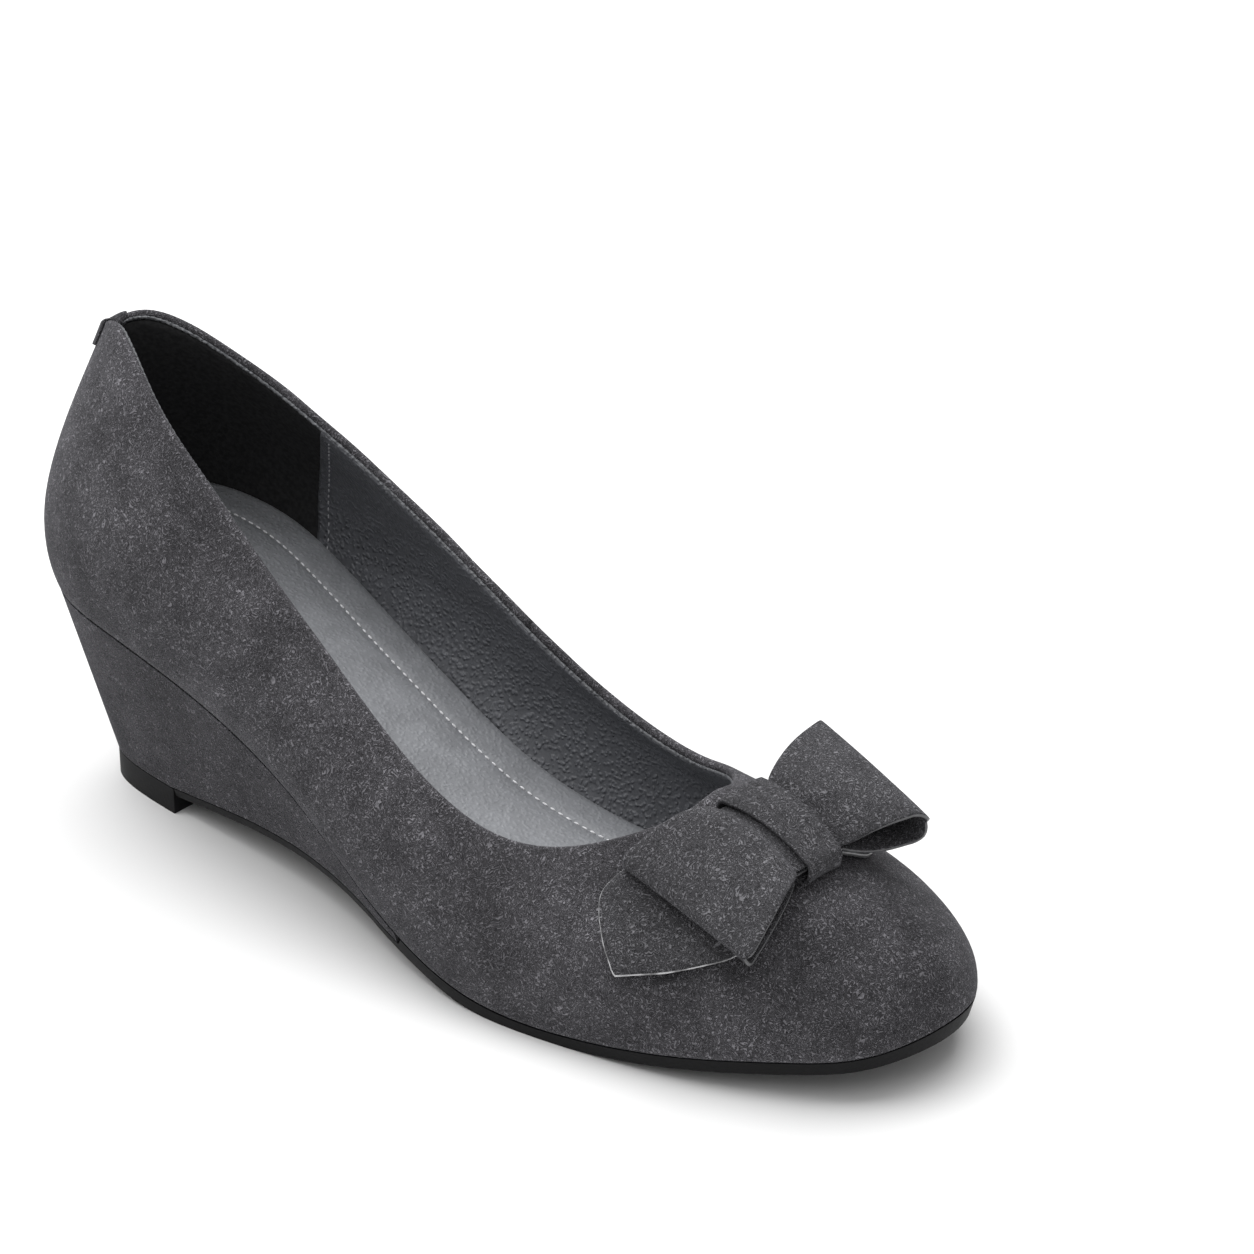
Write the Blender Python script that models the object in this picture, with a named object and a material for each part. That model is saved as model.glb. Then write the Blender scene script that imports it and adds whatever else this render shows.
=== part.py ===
# Women's wedge pump, the right shoe of a pair, EU 38.
# A one-piece suede upper on a suede covered wedge, with a rubber outsole, a rubber
# heel top piece, a padded insole, a back tab and a flat ribbon bow on the vamp.
# +X points to the toe, +Y to the big toe side and +Z up. The origin is the middle of
# the heel tread, on the floor.

import math

import bmesh
import bpy
import numpy as np
from mathutils import Vector
from mathutils.bvhtree import BVHTree

# Last sizes, in metres
LAST_LENGTH = 0.238
BALL_WIDTH = 0.076
SEAT_HEIGHT = 0.0495
COLLAR_DEPTH = 0.060
TOE_SPRING = 0.010

# Bottom sizes
SOLE_THICKNESS = 0.003
SOLE_THIN = 0.002
WEDGE_EDGE = 0.0008
WEDGE_FRONT = 0.124
WEDGE_DRAFT = 0.26
SOLE_STEP = 0.0015
TOP_PIECE_HEIGHT = 0.0063
TOP_PIECE_LENGTH = 0.0285
INSOLE_THICKNESS = 0.004
INSOLE_DISH = 0.0010

# Sheet sizes and clearances
UPPER_WALL = 0.002
GAP = 0.0003
TAB_THICKNESS = 0.0008
TAB_WIDTH = 0.012
TAB_LEG = 0.0065
TAB_INNER_LEG = 0.0022
TAB_BRIDGE = 0.4

# Ribbon bow sizes. The wings are the two loops, and the knot is the band round them.
RIBBON = 0.0010
BOW_STATION = 0.826
BOW_OFFSET = -0.002
BOW_TURN = math.radians(11)
BOW_SKEW = 0.054
KNOT_WIDTH = 0.148 * BALL_WIDTH
KNOT_TAPER = 0.23
KNOT_CROWN = 0.0008
GATHER_WIDTH = 0.285 * BALL_WIDTH
GATHER_CROWN = 0.0023
TAIL_REACH = 0.471 * BALL_WIDTH
TAIL_EASE = 0.008

# Counts of mesh rows
HALF_STEPS = 200
UPPER_COLUMNS = 80
UPPER_ROWS = 11
END_CROWDING = 0.55

# Feather line, where the upper meets the sole, one row per section of the last.
# station is a share of the last length, outer and inner are half widths as shares of
# the ball width, rise is a share of the seat height above the sole, and spring is a
# share of the toe spring.
FEATHER = [
    # station, outer, inner, rise, spring
    (0.000, 0.000, 0.000, 1.000, 0.00),
    (0.034, 0.257, 0.268, 0.985, 0.00),
    (0.126, 0.362, 0.366, 0.940, 0.00),
    (0.252, 0.395, 0.350, 0.800, 0.00),
    (0.390, 0.437, 0.309, 0.512, 0.00),
    (0.504, 0.500, 0.318, 0.180, 0.00),
    (0.622, 0.546, 0.382, 0.008, 0.00),
    (0.723, 0.521, 0.461, 0.000, 0.00),
    (0.828, 0.461, 0.491, 0.000, 0.30),
    (0.912, 0.353, 0.405, 0.000, 0.56),
    (0.971, 0.222, 0.262, 0.000, 0.76),
    (1.000, -0.040, 0.040, 0.000, 0.98),
]

# Topline, the edge of the collar and throat, in the same sections. depth is its height
# above the feather line as a share of the collar depth.
TOPLINE = [
    # station, outer, inner, depth
    (0.035, 0.000, 0.000, 0.938),
    (0.069, 0.078, 0.074, 1.007),
    (0.144, 0.186, 0.186, 0.901),
    (0.229, 0.258, 0.253, 0.807),
    (0.322, 0.315, 0.297, 0.795),
    (0.414, 0.357, 0.320, 0.815),
    (0.507, 0.391, 0.343, 0.712),
    (0.591, 0.401, 0.347, 0.580),
    (0.666, 0.342, 0.302, 0.520),
    (0.714, 0.226, 0.232, 0.530),
    (0.740, 0.110, 0.118, 0.545),
    (0.748, -0.004, 0.004, 0.550),
]

# Fullness of the upper between the two lines. Each section is a curve with a lower and
# an upper handle: reach is a share of the way across, bulge an outward share of the
# ball width, and rise and drop are shares of the section's depth.
FULLNESS = [
    # lower reach, lower bulge, lower rise, upper reach, upper bulge, upper drop
    (0.33, 0.164, 0.33, 0.33, 0.070, 0.33),
    (0.33, 0.179, 0.33, 0.33, 0.045, 0.33),
    (0.33, 0.168, 0.33, 0.33, 0.082, 0.33),
    (0.33, 0.160, 0.33, 0.33, 0.080, 0.33),
    (0.33, 0.150, 0.34, 0.33, 0.080, 0.33),
    (0.30, 0.130, 0.36, 0.33, 0.075, 0.33),
    (0.22, 0.100, 0.40, 0.36, 0.070, 0.32),
    (0.14, 0.070, 0.46, 0.40, 0.045, 0.30),
    (0.08, 0.045, 0.52, 0.44, 0.025, 0.27),
    (0.03, 0.030, 0.56, 0.46, 0.010, 0.25),
    (0.00, 0.022, 0.58, 0.48, 0.000, 0.24),
    (0.00, 0.018, 0.59, 0.49, 0.000, 0.24),
]

# Underside of the outsole, from the heel top piece to the tip. arch is a share of the
# top piece's height and spring a share of the toe spring.
UNDERSIDE = [
    # station, arch, spring
    (0.160, 0.68, 0.00),
    (0.235, 1.05, 0.00),
    (0.300, 1.34, 0.00),
    (0.365, 1.51, 0.00),
    (0.430, 1.52, 0.00),
    (0.470, 1.36, 0.00),
    (0.500, 1.00, 0.00),
    (0.530, 0.72, 0.00),
    (0.560, 0.42, 0.00),
    (0.590, 0.14, 0.00),
    (0.620, 0.00, 0.00),
    (0.723, 0.00, 0.00),
    (0.770, 0.00, 0.11),
    (0.828, 0.00, 0.30),
    (0.912, 0.00, 0.56),
    (0.971, 0.00, 0.74),
    (1.000, 0.00, 0.90),
]

# Thickness of the insole at its edge, as a share of INSOLE_THICKNESS. The heel seat is
# padded and the shank in the waist is thin.
PADDING = [
    # station, thickness
    (0.000, 2.75),
    (0.070, 2.70),
    (0.140, 2.20),
    (0.210, 1.40),
    (0.280, 0.86),
    (0.340, 0.62),
    (0.410, 0.58),
    (0.470, 0.90),
    (0.520, 1.28),
    (0.580, 1.45),
    (0.660, 1.35),
    (0.800, 1.10),
    (1.000, 1.00),
]


# Curves and rings of the last

def columns(table, scales):
    """Return the columns of a table, each in its own size."""
    return [np.array(values) * scale for values, scale in zip(zip(*table), scales)]


def spline_tangents(points, knots, period):
    """Tangents of the smooth closed curve through the points."""
    count = len(points)
    after = np.diff(np.append(knots, knots[0] + period))
    before = np.roll(after, 1)
    matrix = np.zeros((count, count))
    for i in range(count):
        matrix[i, i - 1] += 1 / before[i]
        matrix[i, i] += 2 * (1 / before[i] + 1 / after[i])
        matrix[i, (i + 1) % count] += 1 / after[i]
    ahead = (np.roll(points, -1, axis=0) - points) / after[:, None] ** 2
    behind = (points - np.roll(points, 1, axis=0)) / before[:, None] ** 2
    return np.linalg.solve(matrix, 3 * (ahead + behind))


def closed_curve(points, knots, period, where):
    """Points of the smooth closed curve at the given parameters."""
    tangents = spline_tangents(points, knots, period)
    ends = np.append(knots, knots[0] + period)
    index = np.clip(np.searchsorted(ends, where, side="right") - 1, 0, len(points) - 1)
    span = ends[index + 1] - ends[index]
    t = ((where - ends[index]) / span)[:, None]
    following = (index + 1) % len(points)
    return (
        points[index] * (2 * t**3 - 3 * t**2 + 1)
        + points[following] * (3 * t**2 - 2 * t**3)
        + tangents[index] * span[:, None] * (t**3 - 2 * t**2 + t)
        + tangents[following] * span[:, None] * (t**3 - t**2)
    )


def around(x, outer, inner, z):
    """Turn the sections into a closed loop: back, outer side, tip, inner side."""
    outer_side = np.stack([x, -outer, z], axis=1)
    inner_side = np.stack([x, inner, z], axis=1)
    return np.vstack([outer_side, inner_side[1:-1][::-1]])


def flat(vectors):
    """Copy the vectors without their height."""
    return vectors * np.array([1.0, 1.0, 0.0])


def unit(vectors):
    return vectors / np.linalg.norm(vectors, axis=-1, keepdims=True)


def outward(ring):
    """Level directions that point out of a closed ring."""
    along = unit(flat(np.roll(ring, -1, axis=0) - np.roll(ring, 1, axis=0)))
    return np.stack([along[:, 1], -along[:, 0], along[:, 2]], axis=1)


def last_rings():
    """The feather line, the two rings of handles and the topline, finely sampled."""
    rise_unit = SEAT_HEIGHT - SOLE_THICKNESS - GAP
    x, outer, inner, rise, spring = columns(
        FEATHER, (LAST_LENGTH, BALL_WIDTH, BALL_WIDTH, rise_unit, TOE_SPRING)
    )
    feather_z = SOLE_THICKNESS + GAP + rise + spring
    feather = around(x, outer, inner, feather_z)
    x, outer, inner, depth = columns(
        TOPLINE, (LAST_LENGTH, BALL_WIDTH, BALL_WIDTH, COLLAR_DEPTH)
    )
    topline = around(x, outer, inner, feather_z + depth)

    mirrored = list(range(len(FEATHER))) + list(range(len(FEATHER) - 2, 0, -1))
    low_reach, low_bulge, low_rise, top_reach, top_bulge, top_drop = (
        column[mirrored][:, None]
        for column in columns(FULLNESS, (1, BALL_WIDTH, 1, 1, BALL_WIDTH, 1))
    )
    out = outward(feather)
    across = flat(topline - feather)
    up = (topline - feather) * np.array([0.0, 0.0, 1.0])
    low_handle = feather + across * low_reach + out * low_bulge + up * low_rise
    top_handle = topline - across * top_reach + out * top_bulge - up * top_drop

    steps = np.linalg.norm(np.roll(feather, -1, axis=0) - feather, axis=1)
    half = len(FEATHER) - 1
    even_steps = (steps[:half] + steps[half:][::-1]) / 2
    half_knots = np.concatenate([[0.0], np.cumsum(even_steps)])
    period = 2 * half_knots[-1]
    knots = np.concatenate([half_knots, period - half_knots[1:-1][::-1]])
    where = np.linspace(0, period, 2 * HALF_STEPS, endpoint=False)
    rings = [
        closed_curve(ring, knots, period, where)
        for ring in (feather, low_handle, top_handle, topline)
    ]
    return rings


RINGS = last_rings()
FEATHER_RING = RINGS[0]
FEATHER_OUT = outward(FEATHER_RING)


def skin_ring(share):
    """The ring of the upper's outer face at a share of the way up to the topline."""
    rest = 1 - share
    weights = (rest**3, 3 * rest**2 * share, 3 * rest * share**2, share**3)
    return sum(weight * ring for weight, ring in zip(weights, RINGS))


def skin_normals(share):
    """Outward directions of the upper's outer face along one ring."""
    step = 0.01
    ring = skin_ring(share)
    along = np.roll(ring, -1, axis=0) - np.roll(ring, 1, axis=0)
    upward = skin_ring(min(share + step, 1)) - skin_ring(max(share - step, 0))
    return unit(np.cross(along, upward))


def underside_height(x):
    """Height of the outsole's lower face at a distance from the back."""
    station, arch, spring = columns(
        UNDERSIDE, (LAST_LENGTH, TOP_PIECE_HEIGHT, TOE_SPRING)
    )
    return np.interp(x, station, arch + spring)


def draft_ring(heights):
    """The feather line brought down to other heights, drawn in by the draft."""
    drop = (FEATHER_RING[:, 2] - heights)[:, None]
    ring = FEATHER_RING - FEATHER_OUT * drop * WEDGE_DRAFT
    ring[:, 2] = heights
    return ring


def lower_ring():
    """Outline of the outsole's lower face."""
    heights = underside_height(FEATHER_RING[:, 0])
    for _ in range(3):
        ring = draft_ring(heights)
        heights = underside_height(ring[:, 0])
    return draft_ring(heights)


LOWER_RING = lower_ring()
TOP_PIECE_BACK = draft_ring(np.full(2 * HALF_STEPS, TOP_PIECE_HEIGHT))[0, 0]
TOP_PIECE_FRONT = TOP_PIECE_BACK + TOP_PIECE_LENGTH
ORIGIN_X = TOP_PIECE_BACK + TOP_PIECE_LENGTH / 2


def halves(ring):
    """Split a closed ring into its outer and inner half, both from back to tip."""
    outer = ring[: HALF_STEPS + 1]
    inner = np.vstack([ring[:1], ring[HALF_STEPS:][::-1]])
    return outer, inner


def position_at(half, x):
    """Fractional index on a half ring where it reaches a distance from the back."""
    return float(np.interp(x, half[:, 0], np.arange(len(half))))


def sample(half, index):
    """Points of a half ring at fractional indices."""
    steps = np.arange(len(half))
    return np.stack([np.interp(index, steps, half[:, axis]) for axis in range(3)], axis=1)


# Meshes and materials

def make_material(name, color, roughness):
    material = bpy.data.materials.new(name)
    material.use_nodes = True
    shader = material.node_tree.nodes["Principled BSDF"]
    shader.inputs["Base Color"].default_value = (*color, 1.0)
    shader.inputs["Roughness"].default_value = roughness
    shader.inputs["Metallic"].default_value = 0.0
    material.diffuse_color = (*color, 1.0)
    return material


def make_object(name, vertices, faces, color, roughness, sharp_angle=40):
    """Make one closed piece, moved so that the heel tread is at the origin."""
    mesh = bpy.data.meshes.new(name)
    moved = np.asarray(vertices) - np.array([ORIGIN_X, 0.0, 0.0])
    mesh.from_pydata([tuple(point) for point in moved], [], faces)
    work = bmesh.new()
    work.from_mesh(mesh)
    bmesh.ops.remove_doubles(work, verts=work.verts, dist=1e-6)
    bmesh.ops.recalc_face_normals(work, faces=work.faces)
    work.to_mesh(mesh)
    work.free()
    mesh.shade_smooth()
    mesh.set_sharp_from_angle(angle=math.radians(sharp_angle))
    mesh.materials.append(make_material(name, color, roughness))
    piece = bpy.data.objects.new(name, mesh)
    bpy.context.scene.collection.objects.link(piece)
    return piece


def grid_faces(rows, count, closed_rows=False, closed_columns=False, start=0):
    """Quads of a grid of points stored row by row."""
    faces = []
    for i in range(rows if closed_rows else rows - 1):
        for j in range(count if closed_columns else count - 1):
            a = i * count + j
            b = i * count + (j + 1) % count
            c = (i + 1) % rows * count + (j + 1) % count
            d = (i + 1) % rows * count + j
            faces.append((start + a, start + b, start + c, start + d))
    return faces


def plate(top_rows, bottom_rows):
    """A closed plate from rows of points across its top and across its bottom."""
    rows, count = top_rows.shape[:2]
    loop = np.concatenate([top_rows, bottom_rows[:, ::-1]], axis=1)
    faces = grid_faces(rows, 2 * count, closed_columns=True)
    for row in (0, rows - 1):
        first = row * 2 * count
        for j in range(count - 1):
            a = first + j
            b = first + j + 1
            c = first + 2 * count - 2 - j
            d = first + 2 * count - 1 - j
            faces.append((a, b, c, d) if row else (d, c, b, a))
    return loop.reshape(-1, 3), faces


def across_rows(outer, inner, count, dish=0.0):
    """Straight rows from the outer to the inner side, dipped in the middle."""
    share = np.linspace(0, 1, count)[None, :, None]
    rows = outer[:, None, :] * (1 - share) + inner[:, None, :] * share
    width = np.clip(np.abs(outer[:, 1] - inner[:, 1]) / BALL_WIDTH, 0, 0.5) * 2
    rows[:, :, 2] -= dish * width[:, None] * (1 - (2 * share[..., 0] - 1) ** 2)
    return rows


# Upper: one hollow suede skin, open at the collar and throat and open underneath

def upper_columns(ring):
    """Points of a ring at the upper's columns, closer together at the back and tip."""
    even = np.linspace(0, 1, UPPER_COLUMNS // 2 + 1)
    eased = even - END_CROWDING * np.sin(2 * math.pi * even) / (2 * math.pi)
    outer, inner = (sample(half, eased * HALF_STEPS) for half in halves(ring))
    return np.vstack([outer, inner[1:-1][::-1]])


def make_upper():
    shares = np.linspace(0, 1, UPPER_ROWS)
    rows = [upper_columns(skin_ring(share)) for share in shares]
    vertices = np.concatenate(rows)
    faces = grid_faces(UPPER_ROWS, UPPER_COLUMNS, closed_columns=True)
    upper = make_object("upper", vertices, faces, (0.085, 0.083, 0.088), 0.95)
    wall = upper.modifiers.new("wall", "SOLIDIFY")
    wall.thickness = UPPER_WALL
    wall.offset = -1.0
    wall.use_even_offset = True
    return upper


# Insole: the padded sock on its board, inside the upper

def insole_ring(heights):
    """Ring inside the upper's wall at heights above the feather line."""
    shares = np.linspace(0, 0.5, 60)
    stack = np.array([skin_ring(share) for share in shares])
    level = np.array([skin_normals(share) for share in shares])
    inset = (UPPER_WALL + GAP) / np.linalg.norm(level[:, :, :2], axis=2).clip(0.8)
    stack = stack - unit(flat(level)) * inset[:, :, None]
    rises = stack[:, :, 2] - FEATHER_RING[:, 2]
    ring = np.empty_like(FEATHER_RING)
    for j in range(2 * HALF_STEPS):
        for axis in range(3):
            ring[j, axis] = np.interp(heights[j], rises[:, j], stack[:, j, axis])
    return ring


def make_insole():
    index = np.linspace(0, HALF_STEPS, 41)
    station, thickness = columns(PADDING, (LAST_LENGTH, INSOLE_THICKNESS))
    padded = np.interp(FEATHER_RING[:, 0], station, thickness)
    rows = []
    for heights, dish in ((padded, INSOLE_DISH), (padded * 0, 0.0)):
        outer, inner = halves(insole_ring(heights))
        rows.append(across_rows(sample(outer, index), sample(inner, index), 9, dish))
    vertices, faces = plate(*rows)
    return make_object("insole", vertices, faces, (0.13, 0.135, 0.15), 0.6)


# Wedge: cork wedge covered in suede, under the upper and the insole

def wedge_underside():
    """Ring of the wedge's lower edge: the top piece and the sole lie under it."""
    heights = LOWER_RING[:, 2] + SOLE_THIN + GAP
    over_heel = LOWER_RING[:, 0] < TOP_PIECE_FRONT
    heights = np.where(over_heel, TOP_PIECE_HEIGHT + GAP, heights)
    highest = FEATHER_RING[:, 2] - GAP - WEDGE_EDGE
    return draft_ring(np.minimum(np.maximum(heights, TOP_PIECE_HEIGHT + GAP), highest))


WEDGE_LOWER_RING = wedge_underside()


def make_wedge():
    top_ring = FEATHER_RING - np.array([0.0, 0.0, GAP])
    top_sides = halves(top_ring)
    low_sides = halves(WEDGE_LOWER_RING)
    levels = []
    for share in (0.0, 0.35, 0.7, 1.0):
        sides = []
        for top_half, low_half in zip(top_sides, low_sides):
            end = position_at(top_half, WEDGE_FRONT)
            index = np.linspace(0, end, 31)
            top = sample(top_half, index)
            low = sample(low_half, index)
            sides.append(top * (1 - share) + low * share)
        levels.append(sides)
    top_rows = across_rows(*levels[0], 7)
    low_rows = across_rows(*levels[-1], 7)
    outer_walls = np.stack([sides[0] for sides in levels[1:-1]], axis=1)
    inner_walls = np.stack([sides[1] for sides in levels[1:-1]], axis=1)
    loop = np.concatenate([top_rows, inner_walls, low_rows[:, ::-1], outer_walls[:, ::-1]], axis=1)
    count = loop.shape[1]
    faces = grid_faces(len(loop), count, closed_columns=True)
    faces.append(tuple((len(loop) - 1) * count + j for j in range(count)))
    vertices = loop.reshape(-1, 3)
    return make_object("wedge", vertices, faces, (0.070, 0.068, 0.072), 0.95)


# Heel top piece: the D-shaped rubber block under the back of the wedge

def make_top_piece():
    outer, inner = halves(draft_ring(np.full(2 * HALF_STEPS, TOP_PIECE_HEIGHT)))
    sides = []
    for half in (outer, inner):
        index = np.linspace(0, position_at(half, TOP_PIECE_FRONT), 19)
        sides.append(sample(half, index))
    top = across_rows(*sides, 5)
    bottom = top.copy()
    bottom[:, :, 2] = 0.0
    vertices, faces = plate(top, bottom)
    return make_object("heel_top_piece", vertices, faces, (0.012, 0.012, 0.013), 0.5)


# Outsole: rubber sheet from the heel top piece to the tip, under the wedge and the ball

def make_outsole():
    start = TOP_PIECE_FRONT + GAP
    step_up = WEDGE_FRONT + GAP
    tops = []
    bottoms = []
    for lower, wedge, feather in zip(
        halves(LOWER_RING), halves(WEDGE_LOWER_RING), halves(FEATHER_RING)
    ):
        first = np.linspace(position_at(lower, start), position_at(feather, step_up), 21)
        last = np.linspace(position_at(feather, step_up + SOLE_STEP), HALF_STEPS, 23)
        index = np.concatenate([first, last])
        bottom = sample(lower, index)
        under_wedge = sample(wedge, index)[:, 2] - GAP
        under_feather = sample(feather, index)[:, 2] - GAP
        top_height = np.where(np.arange(len(index)) < len(first), under_wedge, under_feather)
        share = (top_height - bottom[:, 2]) / (under_feather + GAP - bottom[:, 2])
        top = bottom + (sample(feather, index) - bottom) * share[:, None]
        top[:, 2] = top_height
        top[0, 0] = start
        bottom[0, 0] = start
        tops.append(top)
        bottoms.append(bottom)
    vertices, faces = plate(across_rows(*tops, 7), across_rows(*bottoms, 7))
    return make_object("outsole", vertices, faces, (0.012, 0.012, 0.013), 0.55)


# Back tab: a strip of suede folded over the topline at the back seam

def bridged(row, ease):
    """The row eased towards a shallow arc, as the strip spans the collar's narrow inside."""
    share = np.linspace(0, 1, len(row))[:, None]
    chord = row[0] * (1 - share) + row[-1] * share
    bow = TAB_BRIDGE * np.linalg.norm(row[-1] - row[0]) / 2
    arc = chord - np.array([bow, 0.0, 0.0]) * (1 - (2 * share - 1) ** 2)
    return row * (1 - ease) + arc * ease


def make_back_tab():
    inside = UPPER_WALL + GAP + TAB_THICKNESS / 2
    outside = GAP + TAB_THICKNESS / 2
    topline = RINGS[3]
    length = np.linalg.norm(np.roll(topline, -1, axis=0) - topline, axis=1)
    reach = np.searchsorted(np.cumsum(length), TAB_WIDTH / 2)
    picks = np.linspace(-reach, reach, 7).round().astype(int)
    collar = skin_ring(1.0)
    leg_share = TAB_LEG / COLLAR_DEPTH
    rows = []
    for share in np.linspace(1 - leg_share, 1, 5):
        rows.append(skin_ring(share)[picks] + skin_normals(share)[picks] * outside)
    normal = skin_normals(1.0)[picks]
    upward = unit(collar[picks] - skin_ring(0.98)[picks])
    middle = collar[picks] - normal * UPPER_WALL / 2
    turn = UPPER_WALL / 2 + outside
    for degrees, ease in ((25, 0.0), (55, 0.0), (90, 0.0), (125, 0.3), (155, 0.7)):
        angle = math.radians(degrees)
        row = middle + normal * turn * math.cos(angle) + upward * turn * math.sin(angle)
        rows.append(bridged(row, ease))
    for share in np.linspace(1, 1 - TAB_INNER_LEG / COLLAR_DEPTH, 3):
        row = skin_ring(share)[picks] - skin_normals(share)[picks] * inside
        rows.append(bridged(row, 1.0))
    vertices = np.concatenate(rows)
    faces = grid_faces(len(rows), len(picks))
    tab = make_object("back_tab", vertices, faces, (0.080, 0.078, 0.083), 0.95)
    sheet = tab.modifiers.new("sheet", "SOLIDIFY")
    sheet.thickness = TAB_THICKNESS
    sheet.offset = 0.0
    return tab


# Ribbon bow: tails, loops and knot, stacked on the vamp

def vamp_tree():
    """Search tree of the upper's outer face."""
    shares = np.linspace(0, 1, 41)
    points = np.concatenate([skin_ring(share) for share in shares])
    faces = grid_faces(len(shares), 2 * HALF_STEPS, closed_columns=True)
    return BVHTree.FromPolygons([tuple(point) for point in points], faces)


VAMP = vamp_tree()


def vamp_point(x, y, height):
    """Point above the vamp at a plan position, measured along the vamp's normal.

    Over the opening it is level with the nearest point of the topline."""
    high = Vector((x, y, 1.0))
    place, normal, _, _ = VAMP.ray_cast(high, Vector((0.0, 0.0, -1.0)))
    if place is None:
        beside, normal, _, _ = VAMP.find_nearest(Vector((x, y, RINGS[3][HALF_STEPS, 2])))
        place = Vector((x, y, beside.z))
    if normal.z < 0:
        normal = -normal
    return np.array(place + normal * height)


def bow_frame():
    """The knot's place on the vamp, and the bow's front, side and up directions."""
    x = BOW_STATION * LAST_LENGTH
    foot = vamp_point(x, BOW_OFFSET, 0.0)
    up = unit(vamp_point(x, BOW_OFFSET, RIBBON) - foot)
    turned = np.array([math.cos(BOW_TURN), -math.sin(BOW_TURN), 0.0])
    front = unit(turned - up * np.dot(turned, up))
    return foot, front, np.cross(up, front), up


BOW_FOOT, BOW_FRONT, BOW_SIDE, BOW_UP = bow_frame()


def bow_point(front, side, up):
    return BOW_FOOT + BOW_FRONT * front + BOW_SIDE * side + BOW_UP * up


def on_vamp(front, side, height):
    """Point at a height above the vamp, under or over a place on the base plane."""
    place = BOW_FOOT + BOW_FRONT * front + BOW_SIDE * side
    return vamp_point(place[0], place[1], height)


def vamp_drop(front):
    """How far the vamp lies under the bow's base plane, ahead of or behind the knot."""
    return float(np.dot(on_vamp(front, 0.0, 0.0) - BOW_FOOT, BOW_UP))


def layer(number):
    """Height of the middle of a ribbon layer above the vamp: 0 is the lowest."""
    return GAP + RIBBON / 2 + number * (RIBBON + GAP)


def ribbon_object(name, rows, closed_rows, color):
    """A ribbon piece from rows of points on its middle face."""
    count = len(rows[0])
    faces = grid_faces(len(rows), count, closed_rows=closed_rows)
    ribbon = make_object(name, np.concatenate(rows), faces, color, 0.95)
    sheet = ribbon.modifiers.new("ribbon", "SOLIDIFY")
    sheet.thickness = RIBBON
    sheet.offset = 0.0
    return ribbon


# Edges of the two wings. place is the fold's distance ahead of the knot's middle and
# reach its distance from it. droop is in degrees, and the rest is in shares of the
# ball width: the fold's radius, the upper layer's swell and the lower layer's sag.
OUTER_WING = [
    # place, reach, fold, swell, sag, droop
    (-0.226, 0.359, 0.025, 0.050, 0.000, 22.6),
    (0.282, 0.359, 0.024, 0.041, 0.000, 9.4),
]
INNER_WING = [
    # place, reach, fold, swell, sag, droop
    (-0.249, 0.379, 0.027, 0.030, 0.000, 8.8),
    (0.250, 0.305, 0.055, 0.018, 0.012, -0.5),
]


def wing_edge(place, reach, fold, swell, sag, droop):
    """One edge of a wing, from its upper root round the fold to its lower root.

    Each point is its place ahead, side, height and crown."""
    root = KNOT_WIDTH / 2 + RIBBON
    run = reach - fold - root
    upper, lower = layer(3), layer(2)
    path = [(root * share, upper) for share in (0.35, 0.7, 1.0)]
    for share in (0.12, 0.28, 0.46, 0.64, 0.82, 1.0):
        level = upper + (lower + 2 * fold - upper) * share
        path.append((root + run * share, level + swell * math.sin(math.pi * share**0.8)))
    on_top = len(path)
    for angle in np.radians([60, 30, 0, -30, -60]):
        path.append((root + run + fold * math.cos(angle), lower + fold + fold * math.sin(angle)))
    for share in (1.0, 0.75, 0.5, 0.25, 0.0):
        path.append((root + run * share, lower - sag * math.sin(math.pi * share)))
    path += [(root * share, lower) for share in (0.7, 0.35)]
    gather = math.copysign(GATHER_WIDTH / 2, place)
    points = []
    for number, (side, up) in enumerate(path):
        out = min(max(side - root, 0) / (reach - root), 1)
        front = gather + (place - gather) * out**0.75
        crown = GATHER_CROWN * (1 - out) if number < on_top else 0.0
        points.append((front, side, up - max(side - root, 0) * math.tan(droop), crown, 1 - out))
    return np.array(points)


def wing_rows(edges, direction):
    """Rows of points across one wing, ruled between its rear and its front edge."""
    scales = (BALL_WIDTH,) * 5 + (math.radians(1),)
    rear, ahead = (wing_edge(*(value * scale for value, scale in zip(edge, scales))) for edge in edges)
    rows = []
    for rear_point, front_point in zip(rear, ahead):
        row = []
        for share in np.linspace(0, 1, 9):
            front, side, up, crown, skewed = rear_point * (1 - share) + front_point * share
            up += crown * (1 - (2 * share - 1) ** 2) + vamp_drop(front)
            row.append(bow_point(front, direction * side + BOW_SKEW * front * skewed, up))
        rows.append(np.array(row))
    return rows


def middle_row(height, crown):
    """Row of points across the gathered middle of the loops."""
    row = []
    for share in np.linspace(-1, 1, 9):
        front = share * GATHER_WIDTH / 2
        up = height + crown * (1 - share**2) + vamp_drop(front)
        row.append(bow_point(front, BOW_SKEW * front, up))
    return np.array(row)


def make_bow_loops():
    rows = [middle_row(layer(3), GATHER_CROWN)]
    rows += wing_rows(OUTER_WING, -1)
    rows.append(middle_row(layer(2), 0.0))
    rows += wing_rows(INNER_WING, 1)[::-1]
    return ribbon_object("bow_loops", rows, True, (0.085, 0.083, 0.088))


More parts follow.
